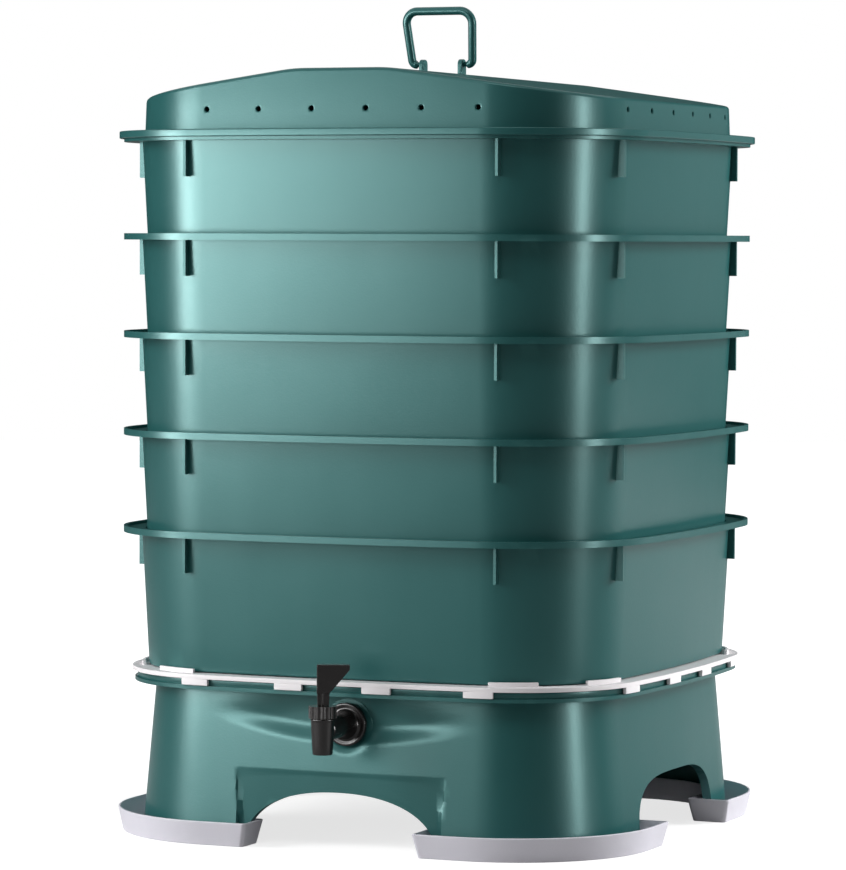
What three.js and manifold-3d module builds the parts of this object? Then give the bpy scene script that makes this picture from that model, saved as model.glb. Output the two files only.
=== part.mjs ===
// A worm composter: a stand with a sump and a tap, a drip guard, five stacking trays and a lid with a handle.
// Millimetres, +Z up. The tap faces -Y. The origin is on the ground, under the middle of the whole, from the
// front of the tap to the back of the lid.
import * as THREE from "three";
import { mergeGeometries, mergeVertices } from "three/addons/utils/BufferGeometryUtils.js";
import Module from "manifold-3d";

const wasm = await Module();
wasm.setup();

// What the whole stack shares
const trayWallHalf = 186.8; // from the middle to the outside of a tray's wall, under its flange
const cornerCentre = 96; // from the middle to the centre of each corner's round, along X and Y
const sideBow = 4; // how far the middle of a side stands out beyond its ends
const mouldedWall = 2.5;
const seatGap = 0.3; // between two pieces that rest on each other
const runningGap = 0.3; // round a pin or a thread
const overrun = 5; // how far a cut runs past the face it opens
const fewSides = 12; // of a small round
const someSides = 20;
const manySides = 24;

// Stand
const standHeight = 107.4;
const standRimReach = 4.9; // how far its rim stands out beyond a tray's wall
const standRimWidth = 15.3;
const standRimThickness = 2.6;
const standFlare = 9.2; // how much wider it is at the foot than under the rim
const standWall = 3;
const sumpFloorRise = 57.2; // from the feet to the underside of the sump's floor
const sumpFloorThickness = 3;
const frontArch = { halfWidth: 72, height: 39.5, squareness: 2.2 };
const sideArch = { halfWidth: 76, height: 46, squareness: 3.4 };
const archSteps = 12;
const archLipThickness = 2.5;
const archLipDepth = 8.6; // from the outside of the wall at its foot
const panelHalfWidth = 77; // the upright panel round the front arch
const panelSetBack = 0.4; // behind the wall, at the panel's top edge
const panelDrop = 8; // of that edge below the sump's floor
const rimLipHeight = 4.4; // upstand on the rim that the drip guard's edge goes round
const rimLipThickness = 2;
const rimLipClearance = 0.8; // inside the guard's edge
const floorRibThickness = 2.5;
const floorRibDepth = 8;
const floorRibOffset = 55; // of the stiffening ribs under the sump floor, from the middle

// Ant trays
const antHeight = 16.5;
const antFloor = 2;
const antWall = 1.8;
const antFlare = 3.5; // how far the walls lean out from foot to rim
const antReach = 10.6; // how far they stand out beyond the stand's foot
const antLipClearance = 4; // between the inner wall and the lip of the arches
const antArmPast = 6.5; // how far the arms run past the edge of the front arch
const antOuterSteps = 8;
const antInnerSteps = 5;

// Scoop in the front wall, behind the tap
const scoopHalfWidth = 130;
const scoopDepth = 2; // behind the top of the stand's wall
const scoopDrop = 15.4; // its lower edge, below the tap's shank
const scoopRise = 31; // how much higher that edge is at the two ends
const scoopSteps = 10;

// Tap
const tapPlace = 5; // of the tap and its scoop, to the right of the middle
const tapDrop = 22.8; // axis of the shank, below the stand's rim
const tapSeatProud = 0.5; // flat pad for the washer, proud of the scoop
const tapSeatRadius = 18;
const shankRadius = 8;
const shankBoreRadius = 4.5;
const shankInside = 20; // length of thread inside the sump
const shankHoleClearance = 0.5;
const washerThickness = 2;
const washerRadius = 14;
const tapFlangeRadius = 15;
const tapFlangeThickness = 3.5;
const tapArmRadius = 7.8;
const tapArmLength = 37.4; // from the flange to the axis of the barrel
const nutThickness = 7;
const nutAcrossFlats = 26;
const nutSides = 6;
const nozzleDrop = 16.7; // its tip, below the shank's axis
const nozzleTipRadius = 6.9;
const nozzleBoreRadius = 5.4;
const barrelRise = 8; // its top, above the shank's axis
const barrelRadius = 8.6;
const barrelBoreRadius = 6.2;
const barrelNeckRadius = 7.6;
const barrelNeckHeight = 5;
const valveSeatDrop = 7.4; // below the shank's axis
const valveSeatThickness = 2;
const valveSeatRadius = 3.8;
const bonnetRadius = 9.7;
const bonnetGroove = 0.6;
const bonnetRibs = 14;
const bonnetHeight = 8.3;
const bonnetTopThickness = 3;
const stemRadius = 2.4;
const stemTongueThickness = 2.4;
const plugRadius = 5.5;
const plugHeight = 5;
const springRadius = 4.2;
const springWire = 1;
const springTurns = 6;
const springSides = 5;
const springStepsPerTurn = 8;
const leverPinRise = 4.2; // above the collar
const leverPinRadius = 1.2;
const leverThickness = 9;
const leverNeckHalf = 5;
const leverNeckRise = 10; // above the collar
const leverRise = 28.4; // above the collar
const leverReach = 18.5; // how far the paddle's tip stands out from the barrel's axis
const leverBack = 4; // how far its upright edge stands out on the other side
const leverTipThickness = 3;
const headTurn = THREE.MathUtils.degToRad(23); // the way the paddle points, round from +X

// Drip guard
const guardReach = 1.9; // beyond the stand's rim
const guardThickness = 2.5;
const guardEdgeHeight = 4;
const guardEdgeWidth = 3;
const guardFootHeight = 3.6; // the tabs that stand on the stand's rim
const guardFootPlaces = [33, 106.5]; // along a side, from its middle
const guardFootHalf = 10.5;
const guardKeeperHeight = 3;
const guardKeeperPlace = 127;
const guardKeeperHalf = 16;
const guardKeeperWall = 2.4;
const guardKeeperClearance = 2.4; // round the lowest tray's foot
const guardHoles = 5; // in a row
const guardHoleRadius = 5;
const guardHoleSpan = 256;
const holeSides = 6;

// Working trays
const trayNames = ["tray_1", "tray_2", "tray_3", "tray_4", "tray_5"]; // from the lowest up
const trayDepth = 99;
const trayPitch = 69;
const trayTaper = 5; // how much the half-width loses from flange to foot
const trayFootChamfer = 2;
const trayFloor = 2.5;
const trayHoles = 4; // in a row
const trayHoleRadius = 5;
const trayHoleSpan = 240;
const flangeReach = 13.2; // beyond the wall
const flangeHeight = 4.5; // of the outer lip
const flangeWeb = 2.5;
const flangeLip = 2.2;
const ribPlace = 116.7; // along a side, from its middle
const ribThickness = 2;
const ribHeight = 25;
const ribSetBack = 2.3; // of its upright outer edge from the wall's half-width
const supportWidth = 4; // upright inside rib that the next tray stands on
const supportReach = 9;

// Lid
const lidOverhang = 3.3; // of its flange beyond a tray's
const lidSkirtHeight = 5;
const lidSkirtWall = 2;
const lidInset = 1.8; // of its wall behind a tray's
const lidTaper = 1.6;
const eavesRise = 21.3; // above the flange, where the roof's planes meet the side walls
const ridgeRise = 20.5; // above the eaves
const ridgeHalfWidth = 35.5;
const roofEdge = 2; // chamfer where the roof meets the walls
const ventRise = 14; // above the flange
const ventSpacing = 40.6;
const ventCount = 6; // in each wall
const ventRadius = 1.8;

// Handle
const handlePivotRise = 8.8; // above the ridge
const handleRise = 38.8; // from the pivot to the grip's centre line
const handleGripHalf = 25.5; // to the centre line of a leg, at the grip
const handleFootHalf = 23; // the same, at the foot
const handleCorner = 9;
const handleRodRadius = 3;
const handleRodSides = 8;
const handleRodSteps = 20;
const handlePinRadius = 1.8;
const handlePinLength = 10; // inwards from the leg's centre line
const lugThickness = 3.5;
const lugWidth = 9;
const lugTopRise = 3.6; // above the pivot
const handleLean = THREE.MathUtils.degToRad(12); // towards the front

// Half-widths that follow
const standRimHalf = trayWallHalf + standRimReach;
const standTopHalf = standRimHalf - standRimWidth;
const standFootHalf = standTopHalf + standFlare;
const antOuterHalf = standFootHalf + antReach; // at the foot
const antInnerHalf = standFootHalf - archLipDepth - antLipClearance - antWall; // at the foot
const antArmEnd = frontArch.halfWidth - antArmPast; // from the middle plane, at the foot
const guardHalf = standRimHalf + guardReach;
const rimLipHalf = guardHalf - guardEdgeWidth - rimLipClearance;
const flangeHalf = trayWallHalf + flangeReach;
const lidFlangeHalf = flangeHalf + lidOverhang;
const lidWallHalf = trayWallHalf - lidInset;
const lidTopHalf = lidWallHalf - lidTaper;

// Heights that follow
const standFoot = antFloor + seatGap;
const standRimTop = standFoot + standHeight;
const standRimBottom = standRimTop - standRimThickness;
const sumpFloorBottom = standFoot + sumpFloorRise;
const panelTop = sumpFloorBottom - panelDrop;
const guardFootBottom = standRimTop + seatGap;
const guardEdgeBottom = guardFootBottom + guardFootHeight;
const guardTop = guardEdgeBottom + guardEdgeHeight;
const keeperTop = guardTop + guardKeeperHeight;
const trayBottoms = trayNames.map((_, level) => guardTop + seatGap + level * trayPitch);
const topTrayRim = trayBottoms[trayNames.length - 1] + trayDepth;
const lidWebBottom = topTrayRim + seatGap;
const lidWebTop = lidWebBottom + mouldedWall;
const ventHeight = lidWebTop + ventRise;
const eavesHeight = lidWebTop + eavesRise;
const ridgeHeight = eavesHeight + ridgeRise;
const handlePivot = ridgeHeight + handlePivotRise;
const tapHeight = standRimTop - tapDrop;
const scoopBottom = tapHeight - scoopDrop;
const nozzleBottom = tapHeight - nozzleDrop;
const valveSeatHeight = tapHeight - valveSeatDrop;
const barrelTop = tapHeight + barrelRise;
const bonnetBottom = barrelTop + seatGap;
const bonnetTop = bonnetBottom + bonnetHeight;
const leverPinHeight = bonnetTop + leverPinRise;

// Depths from the middle plane to the tap's pieces, along -Y
const scoopFloorY = standTopHalf - scoopDepth;
const tapSeatY = scoopFloorY + tapSeatProud;
const tapWallInnerY = scoopFloorY - standWall - tapSeatProud;
const tapFlangeBackY = tapSeatY + washerThickness + 2 * seatGap;
const tapFlangeFrontY = tapFlangeBackY + tapFlangeThickness;
const tapAxisY = tapFlangeFrontY + tapArmLength;

// Materials
function plastic(name, color, roughness) {
  return new THREE.MeshStandardMaterial({ name, color, roughness, metalness: 0 });
}
const green = plastic("green plastic", "#3c6a66", 0.35);
const white = plastic("white plastic", "#ebe6e8", 0.45);
const lilacGrey = plastic("pale grey plastic", "#d7d5de", 0.5);
const black = plastic("black plastic", "#201c1c", 0.3);
const silicone = plastic("silicone", "#d9d4cc", 0.6);
const rubber = plastic("rubber", "#1a1a1a", 0.8);
const steel = new THREE.MeshStandardMaterial({ name: "steel", color: "#b9bcc0", roughness: 0.3, metalness: 1 });
const mergeDistance = 1e-4;

// Solids
function solid(geometry) {
  const bare = geometry.index ? geometry.toNonIndexed() : geometry.clone();
  bare.deleteAttribute("normal");
  bare.deleteAttribute("uv");
  const merged = mergeVertices(bare, mergeDistance);
  return new wasm.Manifold(
    new wasm.Mesh({
      numProp: 3,
      vertProperties: merged.attributes.position.array,
      triVerts: new Uint32Array(merged.index.array),
    }),
  );
}

function meshOf(name, body, material) {
  const made = body.getMesh();
  const geometry = new THREE.BufferGeometry();
  geometry.setAttribute("position", new THREE.BufferAttribute(made.vertProperties, 3));
  geometry.setIndex(new THREE.BufferAttribute(made.triVerts, 1));
  const flat = geometry.toNonIndexed();
  flat.computeVertexNormals();
  const mesh = new THREE.Mesh(flat, material);
  mesh.name = name;
  return mesh;
}

function joined(bodies) {
  return bodies.reduce((whole, body) => whole.add(body));
}

function quarterTurns(geometry) {
  return [0, 1, 2, 3].map((quarter) => geometry.clone().rotateZ((quarter * Math.PI) / 2));
}

// A closed body through loops of points, from the lowest loop up, each anticlockwise seen from above.
function loft(loops) {
  const count = loops[0].length;
  const places = loops.flat().flatMap((point) => point.toArray());
  const faces = [];
  for (let level = 0; level + 1 < loops.length; level++) {
    for (let i = 0; i < count; i++) {
      const a = level * count + i;
      const b = level * count + ((i + 1) % count);
      faces.push(a, b, b + count, a, b + count, a + count);
    }
  }
  const lid = (loop) => THREE.ShapeUtils.triangulateShape(loop.map((p) => new THREE.Vector2(p.x, p.y)), []);
  const topStart = (loops.length - 1) * count;
  lid(loops[0]).forEach(([a, b, c]) => faces.push(a, c, b));
  lid(loops[loops.length - 1]).forEach(([a, b, c]) => faces.push(topStart + a, topStart + b, topStart + c));
  const geometry = new THREE.BufferGeometry();
  geometry.setAttribute("position", new THREE.Float32BufferAttribute(places, 3));
  geometry.setIndex(faces);
  return geometry;
}

// A square seen from above, with round corners and slightly bowed sides. Every loop has the same corner
// centres, so that two loops of different half-width keep the same distance all round.
function squareLoop(half, z) {
  const sideSteps = 2;
  const cornerSteps = 5;
  const loop = [];
  const radius = half - sideBow - cornerCentre;
  for (let quarter = 0; quarter < 4; quarter++) {
    const points = [];
    for (let i = 0; i < sideSteps; i++) {
      const along = (2 * i) / sideSteps - 1;
      points.push([along * cornerCentre, sideBow * along * along - half]);
    }
    for (let i = 0; i < cornerSteps; i++) {
      const angle = (i / cornerSteps) * (Math.PI / 2);
      points.push([cornerCentre + radius * Math.sin(angle), -cornerCentre - radius * Math.cos(angle)]);
    }
    points.forEach(([x, y]) => {
      const point = new THREE.Vector3(x, y, z);
      loop.push(point.applyAxisAngle(new THREE.Vector3(0, 0, 1), (quarter * Math.PI) / 2));
    });
  }
  return loop;
}

// A box given by its two corners.
function block(x0, y0, z0, x1, y1, z1) {
  const box = new THREE.BoxGeometry(x1 - x0, y1 - y0, z1 - z0);
  return box.translate((x0 + x1) / 2, (y0 + y1) / 2, (z0 + z1) / 2);
}

// A round bar between two heights.
function uprightBar(radius, bottom, top, sides) {
  const bar = new THREE.CylinderGeometry(radius, radius, top - bottom, sides);
  return bar.rotateX(Math.PI / 2).translate(0, 0, (bottom + top) / 2);
}

// A round bar along Y, from one place to another.
function depthBar(radius, y0, y1, height, sides) {
  const bar = new THREE.CylinderGeometry(radius, radius, y1 - y0, sides);
  return bar.translate(0, (y0 + y1) / 2, 0).translate(0, 0, height);
}

// An outline drawn in X and Z, given depth along Y.
function slab(shape, y0, y1) {
  const made = new THREE.ExtrudeGeometry(shape, { depth: y1 - y0, bevelEnabled: false, steps: 1 });
  return made.rotateX(Math.PI / 2).translate(0, y1, 0);
}

function turned(profile, sides) {
  const points = profile.map(([radius, z]) => new THREE.Vector2(radius, z));
  return new THREE.LatheGeometry(points, sides).rotateX(Math.PI / 2);
}

// A square grid of round holes through a flat floor.
function holeGrid(rows, span, radius, bottom, top) {
  const holes = [];
  for (let i = 0; i < rows; i++) {
    for (let j = 0; j < rows; j++) {
      const x = (i / (rows - 1) - 1 / 2) * span;
      const y = (j / (rows - 1) - 1 / 2) * span;
      holes.push(uprightBar(radius, bottom - overrun, top + overrun, holeSides).translate(x, y, 0));
    }
  }
  return solid(mergeGeometries(holes));
}

// Ant trays: an L-shaped gutter for water under each leg
function antLoop(grow, z) {
  const outer = antOuterHalf + grow;
  const inner = antInnerHalf - grow;
  const end = antArmEnd - grow;
  const arc = (half, steps) =>
    Array.from({ length: steps + 1 }, (_, i) => {
      const angle = (i / steps) * (Math.PI / 2);
      const radius = half - cornerCentre;
      const x = cornerCentre + radius * Math.sin(angle);
      const y = -cornerCentre - radius * Math.cos(angle);
      return new THREE.Vector3(x, y, z);
    });
  return [
    new THREE.Vector3(end, -outer, z),
    ...arc(outer, antOuterSteps),
    new THREE.Vector3(outer, -end, z),
    new THREE.Vector3(inner, -end, z),
    ...arc(inner, antInnerSteps).reverse(),
    new THREE.Vector3(end, -inner, z),
  ];
}

function antTray(name, quarter) {
  const flareAt = (z) => (antFlare * z) / antHeight;
  const outside = loft([antLoop(0, 0), antLoop(antFlare, antHeight)]);
  const top = antHeight + overrun;
  const inside = loft([antLoop(flareAt(antFloor) - antWall, antFloor), antLoop(flareAt(top) - antWall, top)]);
  const turn = (quarter * Math.PI) / 2;
  return meshOf(name, solid(outside.rotateZ(turn)).subtract(solid(inside.rotateZ(turn))), lilacGrey);
}

// Stand
function standHalfAt(z) {
  return THREE.MathUtils.mapLinear(z, standFoot, standRimBottom, standFootHalf, standTopHalf);
}

// The outline of an arch that stands on the ground: an ellipse made squarer in the shoulders.
function archOutline({ halfWidth, height, squareness }, grow) {
  const shape = new THREE.Shape();
  shape.moveTo(halfWidth + grow, -overrun);
  for (let i = 0; i <= archSteps; i++) {
    const angle = (i / archSteps) * Math.PI;
    const across = Math.abs(Math.cos(angle)) ** (2 / squareness) * Math.sign(Math.cos(angle));
    const up = Math.sin(angle) ** (2 / squareness);
    shape.lineTo((halfWidth + grow) * across, (height + grow) * up);
  }
  shape.lineTo(-halfWidth - grow, -overrun);
  return shape;
}

// The region behind the tap that is pressed in: round in plan, with a lower edge that rises to both ends.
function scoop(grow, top) {
  const half = scoopHalfWidth + grow;
  const deepest = scoopFloorY - grow;
  const edgeY = standHalfAt((scoopBottom + standRimBottom) / 2);
  const farY = standRimHalf + overrun;
  const plan = new THREE.Shape();
  const lower = new THREE.Shape();
  plan.moveTo(-half, -farY);
  lower.moveTo(half, top);
  lower.lineTo(-half, top);
  for (let i = 0; i <= scoopSteps; i++) {
    const share = (2 * i) / scoopSteps - 1;
    plan.lineTo(half * share, -deepest - (edgeY - scoopFloorY) * share * share);
    lower.lineTo(half * share, scoopBottom - grow + scoopRise * share * share);
  }
  plan.lineTo(half, -farY);
  const tall = new THREE.ExtrudeGeometry(plan, { depth: top, bevelEnabled: false, steps: 1 });
  const deep = slab(lower, -farY, -deepest + overrun);
  return solid(tall.translate(tapPlace, 0, 0)).intersect(solid(deep.translate(tapPlace, 0, 0)));
}

function stand() {
  const footLoop = squareLoop(standFootHalf, standFoot);
  const upperLoop = squareLoop(standTopHalf, standRimBottom);
  const rim = solid(loft([squareLoop(standRimHalf, standRimBottom), squareLoop(standRimHalf, standRimTop)]));
  const outside = solid(loft([footLoop, upperLoop])).subtract(scoop(0, standRimBottom)).add(rim);
  const sumpFloorTop = sumpFloorBottom + sumpFloorThickness;
  const innerLoop = (z) => squareLoop(standHalfAt(z) - standWall, z);
  const above = standRimTop + overrun;
  const sumpScoop = scoop(standWall, above + overrun);
  const sump = solid(loft([innerLoop(sumpFloorTop), innerLoop(above)])).subtract(sumpScoop);
  const below = solid(loft([innerLoop(-overrun), innerLoop(sumpFloorBottom)]));
  const panelY = standHalfAt(panelTop) - panelSetBack;
  const farY = standRimHalf + overrun;
  const panel = solid(block(-panelHalfWidth, -farY, -overrun, panelHalfWidth, -panelY, panelTop));
  const panelBack = solid(
    block(-panelHalfWidth, standWall - farY, standFoot, panelHalfWidth, standWall - panelY, panelTop),
  );
  let body = outside.subtract(sump).subtract(below.subtract(panelBack)).subtract(panel);

  // What is added to the wall reaches halfway into it, and no further out.
  const midWall = standWall / 2;
  const midLoop = (z) => squareLoop(standHalfAt(z) - midWall, z);
  const panelMid = block(-panelHalfWidth, -farY, -overrun, panelHalfWidth, midWall - panelY, panelTop);
  const skin = solid(loft([midLoop(standFoot), midLoop(standRimBottom)])).subtract(solid(panelMid));
  const lipBack = standFootHalf - archLipDepth;
  const wayThrough = (arch, quarter) => slab(archOutline(arch, 0), -farY, farY).rotateZ(quarter);
  const lips = [frontArch, sideArch, frontArch, sideArch].map((arch, side) => {
    const ring = slab(archOutline(arch, archLipThickness), -farY, -lipBack).rotateZ((side * Math.PI) / 2);
    return solid(ring).intersect(skin);
  });
  body = body.add(joined(lips));
  body = body.subtract(solid(wayThrough(frontArch, 0))).subtract(solid(wayThrough(sideArch, Math.PI / 2)));

  const ribReach = standTopHalf;
  const ribBottom = sumpFloorBottom - floorRibDepth;
  const ribHalf = floorRibThickness / 2;
  const ribs = [-floorRibOffset, floorRibOffset].flatMap((offset) => [
    solid(block(offset - ribHalf, -ribReach, ribBottom, offset + ribHalf, ribReach, sumpFloorBottom)),
    solid(block(-ribReach, offset - ribHalf, ribBottom, ribReach, offset + ribHalf, sumpFloorBottom)),
  ]);
  body = body.add(joined(ribs).intersect(skin));
  body = body.add(ringBetween(rimLipHalf, rimLipThickness, standRimBottom, standRimTop + rimLipHeight));

  const holeRadius = shankRadius + shankHoleClearance;
  const seat = depthBar(tapSeatRadius, -tapSeatY, -tapWallInnerY, tapHeight, manySides);
  const hole = depthBar(holeRadius, -farY, overrun - tapWallInnerY, tapHeight, someSides);
  body = body.add(solid(seat.translate(tapPlace, 0, 0))).subtract(solid(hole.translate(tapPlace, 0, 0)));
  return meshOf("base_stand", body, green);
}

// Drip guard: a perforated plate on feet, with keepers round the lowest tray
function ringBetween(outerHalf, width, bottom, top) {
  const outside = solid(loft([squareLoop(outerHalf, bottom), squareLoop(outerHalf, top)]));
  const innerHalf = outerHalf - width;
  const inside = loft([squareLoop(innerHalf, bottom - overrun), squareLoop(innerHalf, top + overrun)]);
  return outside.subtract(solid(inside));
}

function dripGuard() {
  const plateBottom = guardTop - guardThickness;
  const edge = solid(loft([squareLoop(guardHalf, guardEdgeBottom), squareLoop(guardHalf, guardTop)]));
  const pocketHalf = guardHalf - guardEdgeWidth;
  const pocketBottom = guardEdgeBottom - overrun;
  const pocket = solid(loft([squareLoop(pocketHalf, pocketBottom), squareLoop(pocketHalf, plateBottom)]));
  const footRing = ringBetween(guardHalf, guardEdgeWidth, guardFootBottom, guardTop);
  const keeperHalf = trayWallHalf - trayTaper + guardKeeperClearance + guardKeeperWall;
  const keeperRing = ringBetween(keeperHalf, guardKeeperWall, plateBottom, keeperTop);
  const far = guardHalf + overrun;
  const window = (place, half, bottom, top) =>
    quarterTurns(block(place - half, -far, bottom, place + half, -cornerCentre, top)).map(solid);
  const feet = guardFootPlaces
    .flatMap((place) => [place, -place])
    .flatMap((place) => window(place, guardFootHalf, guardFootBottom - overrun, guardTop));
  const keepers = [-guardKeeperPlace, guardKeeperPlace].flatMap((place) =>
    window(place, guardKeeperHalf, plateBottom, keeperTop + overrun),
  );
  const body = edge
    .subtract(pocket)
    .add(footRing.intersect(joined(feet)))
    .add(keeperRing.intersect(joined(keepers)))
    .subtract(holeGrid(guardHoles, guardHoleSpan, guardHoleRadius, plateBottom, guardTop));
  return meshOf("drip_guard", body, white);
}

// Working trays
function tray(name, bottom) {
  const rim = bottom + trayDepth;
  const flangeBottom = rim - flangeHeight;
  const webTop = flangeBottom + flangeWeb;
  const footHalf = trayWallHalf - trayTaper;
  const halfAt = (z) => THREE.MathUtils.mapLinear(z, bottom, flangeBottom, footHalf, trayWallHalf);
  const outerLoop = (z) => squareLoop(halfAt(z), z);
  const innerLoop = (z) => squareLoop(halfAt(z) - mouldedWall, z);
  const floorTop = bottom + trayFloor;
  const outside = loft([
    squareLoop(footHalf - trayFootChamfer, bottom),
    outerLoop(bottom + trayFootChamfer),
    outerLoop(flangeBottom),
    squareLoop(flangeHalf, flangeBottom),
    squareLoop(flangeHalf, rim),
  ]);
  const gutterHalf = flangeHalf - flangeLip;
  const inside = loft([
    innerLoop(floorTop),
    innerLoop(webTop),
    squareLoop(gutterHalf, webTop),
    squareLoop(gutterHalf, rim + overrun),
  ]);
  // Ribs and supports reach halfway into the wall.
  const midLoop = (z) => squareLoop(halfAt(z) - mouldedWall / 2, z);
  const core = solid(loft([midLoop(bottom + trayFloor / 2), midLoop(webTop)]));
  const ribTop = flangeBottom + flangeWeb / 2;
  const ribBottom = flangeBottom - ribHeight;
  const ribOutline = new THREE.Shape();
  ribOutline.moveTo(cornerCentre, ribTop);
  ribOutline.lineTo(trayWallHalf - ribSetBack, ribTop);
  ribOutline.lineTo(trayWallHalf - ribSetBack, ribBottom);
  ribOutline.lineTo(cornerCentre, ribBottom);
  const rib = slab(ribOutline, -ribThickness / 2, ribThickness / 2).rotateZ(-Math.PI / 2);
  const ribs = [-ribPlace, ribPlace].flatMap((place) =>
    quarterTurns(rib.clone().translate(place, 0, 0)).map(solid),
  );

  // Upright supports on the inside of the wall carry the foot of the next tray.
  const supportTop = bottom + trayPitch - seatGap;
  const supportInner = footHalf - mouldedWall - supportReach;
  const half = supportWidth / 2;
  const upright = block(-half, -trayWallHalf, floorTop - trayFloor / 2, half, -supportInner, supportTop);
  const supports = [-ribPlace, ribPlace].flatMap((place) =>
    quarterTurns(upright.clone().translate(place, 0, 0)).map((piece) => solid(piece).intersect(core)),
  );
  const body = solid(outside)
    .add(joined(ribs).subtract(core))
    .subtract(solid(inside))
    .add(joined(supports))
    .subtract(holeGrid(trayHoles, trayHoleSpan, trayHoleRadius, bottom, floorTop));
  return meshOf(name, body, green);
}

// Lid: a roof that rises to a flat ridge from front to back
function gable(drop, bottom) {
  const far = lidFlangeHalf + overrun;
  const fall = (ridgeHeight - eavesHeight) / (lidTopHalf - ridgeHalfWidth);
  const eavesAtFar = ridgeHeight - fall * (far - ridgeHalfWidth);
  const shape = new THREE.Shape();
  shape.moveTo(-far, bottom);
  shape.lineTo(far, bottom);
  shape.lineTo(far, eavesAtFar - drop);
  shape.lineTo(ridgeHalfWidth, ridgeHeight - drop);
  shape.lineTo(-ridgeHalfWidth, ridgeHeight - drop);
  shape.lineTo(-far, eavesAtFar - drop);
  return solid(slab(shape, -far, far));
}

function lid() {
  const skirtBottom = lidWebTop - lidSkirtHeight;
  const halfAt = (z) => THREE.MathUtils.mapLinear(z, lidWebTop, ridgeHeight, lidWallHalf, lidTopHalf);
  const high = ridgeHeight + overrun;
  const walls = (shrink, bottom) =>
    solid(loft([squareLoop(halfAt(bottom) - shrink, bottom), squareLoop(halfAt(high) - shrink, high)]));
  const flange = loft([
    squareLoop(lidFlangeHalf, skirtBottom),
    squareLoop(lidFlangeHalf, lidWebTop),
    squareLoop(lidWallHalf, lidWebTop),
    squareLoop(lidWallHalf, lidWebTop + mouldedWall),
  ]);
  const lower = skirtBottom - overrun;
  // A second roof, lower by the chamfer and narrower by the same, cuts off the sharp edge round the real one.
  const shoulders = walls(0, lidWebTop).intersect(gable(roofEdge, lower));
  const roof = walls(roofEdge, lidWebTop).intersect(gable(0, lower));
  const pocketHalf = lidFlangeHalf - lidSkirtWall;
  const pocket = solid(loft([squareLoop(pocketHalf, lower), squareLoop(pocketHalf, lidWebBottom)]));
  const under = lower - overrun;
  const hollowShoulders = walls(mouldedWall, lower).intersect(gable(roofEdge + mouldedWall, under));
  const hollowRoof = walls(roofEdge + mouldedWall, lower).intersect(gable(mouldedWall, under));

  const far = lidFlangeHalf + overrun;
  const vents = [];
  for (let i = 0; i < ventCount; i++) {
    const place = (i - (ventCount - 1) / 2) * ventSpacing;
    const drill = depthBar(ventRadius, -far, -cornerCentre, ventHeight, holeSides).translate(place, 0, 0);
    vents.push(...quarterTurns(drill));
  }

  // Two lugs between the handle's feet take its pins.
  const lugInner = handleFootHalf - handlePinLength;
  const lugMiddle = lugInner + runningGap + lugThickness / 2;
  const lugBottom = ridgeHeight - mouldedWall / 2;
  const lugTop = handlePivot + lugTopRise;
  const halfLug = lugThickness / 2;
  const lug = block(-halfLug, -lugWidth / 2, lugBottom, halfLug, lugWidth / 2, lugTop);
  const lugs = [-lugMiddle, lugMiddle].map((x) => solid(lug.clone().translate(x, 0, 0)));
  const pinHole = uprightBar(handlePinRadius + runningGap, -handleFootHalf, handleFootHalf, fewSides);
  const body = solid(flange)
    .add(shoulders)
    .add(roof)
    .subtract(pocket)
    .subtract(hollowShoulders)
    .subtract(hollowRoof)
    .add(joined(lugs))
    .subtract(solid(pinHole.rotateY(Math.PI / 2).translate(0, 0, handlePivot)))
    .subtract(solid(mergeGeometries(vents)));
  return meshOf("lid", body, green);
}

// Handle: one bent rod, with a pin turned inwards at each foot
function handle() {
  const section = new THREE.Shape();
  for (let i = 0; i < handleRodSides; i++) {
    const angle = ((i + 1 / 2) / handleRodSides) * 2 * Math.PI;
    const reach = handleRodRadius / Math.cos(Math.PI / handleRodSides);
    section[i ? "lineTo" : "moveTo"](reach * Math.cos(angle), reach * Math.sin(angle));
  }
  const bend = new THREE.CurvePath();
  const foot = new THREE.Vector3(handleFootHalf, 0, -handleRodRadius);
  const shoulder = new THREE.Vector3(handleGripHalf, 0, handleRise - handleCorner);
  const corner = new THREE.Vector3(handleGripHalf, 0, handleRise);
  const gripEnd = new THREE.Vector3(handleGripHalf - handleCorner, 0, handleRise);
  const mirrored = (point) => new THREE.Vector3(-point.x, point.y, point.z);
  bend.add(new THREE.LineCurve3(mirrored(foot), mirrored(shoulder)));
  bend.add(new THREE.QuadraticBezierCurve3(mirrored(shoulder), mirrored(corner), mirrored(gripEnd)));
  bend.add(new THREE.LineCurve3(mirrored(gripEnd), gripEnd));
  bend.add(new THREE.QuadraticBezierCurve3(gripEnd, corner, shoulder));
  bend.add(new THREE.LineCurve3(shoulder, foot));
  const bent = { extrudePath: bend, steps: handleRodSteps, bevelEnabled: false };
  const rod = new THREE.ExtrudeGeometry(section, bent);
  const pinMiddle = handleFootHalf - handlePinLength / 2;
  const pins = [-pinMiddle, pinMiddle].map((x) => {
    const pin = uprightBar(handlePinRadius, -handlePinLength / 2, handlePinLength / 2, fewSides);
    return solid(pin.rotateY(Math.PI / 2).translate(x, 0, 0));
  });
  const mesh = meshOf("lid_handle", joined([solid(rod), ...pins]), green);
  mesh.rotation.x = handleLean;
  mesh.position.z = handlePivot;
  return mesh;
}

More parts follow.
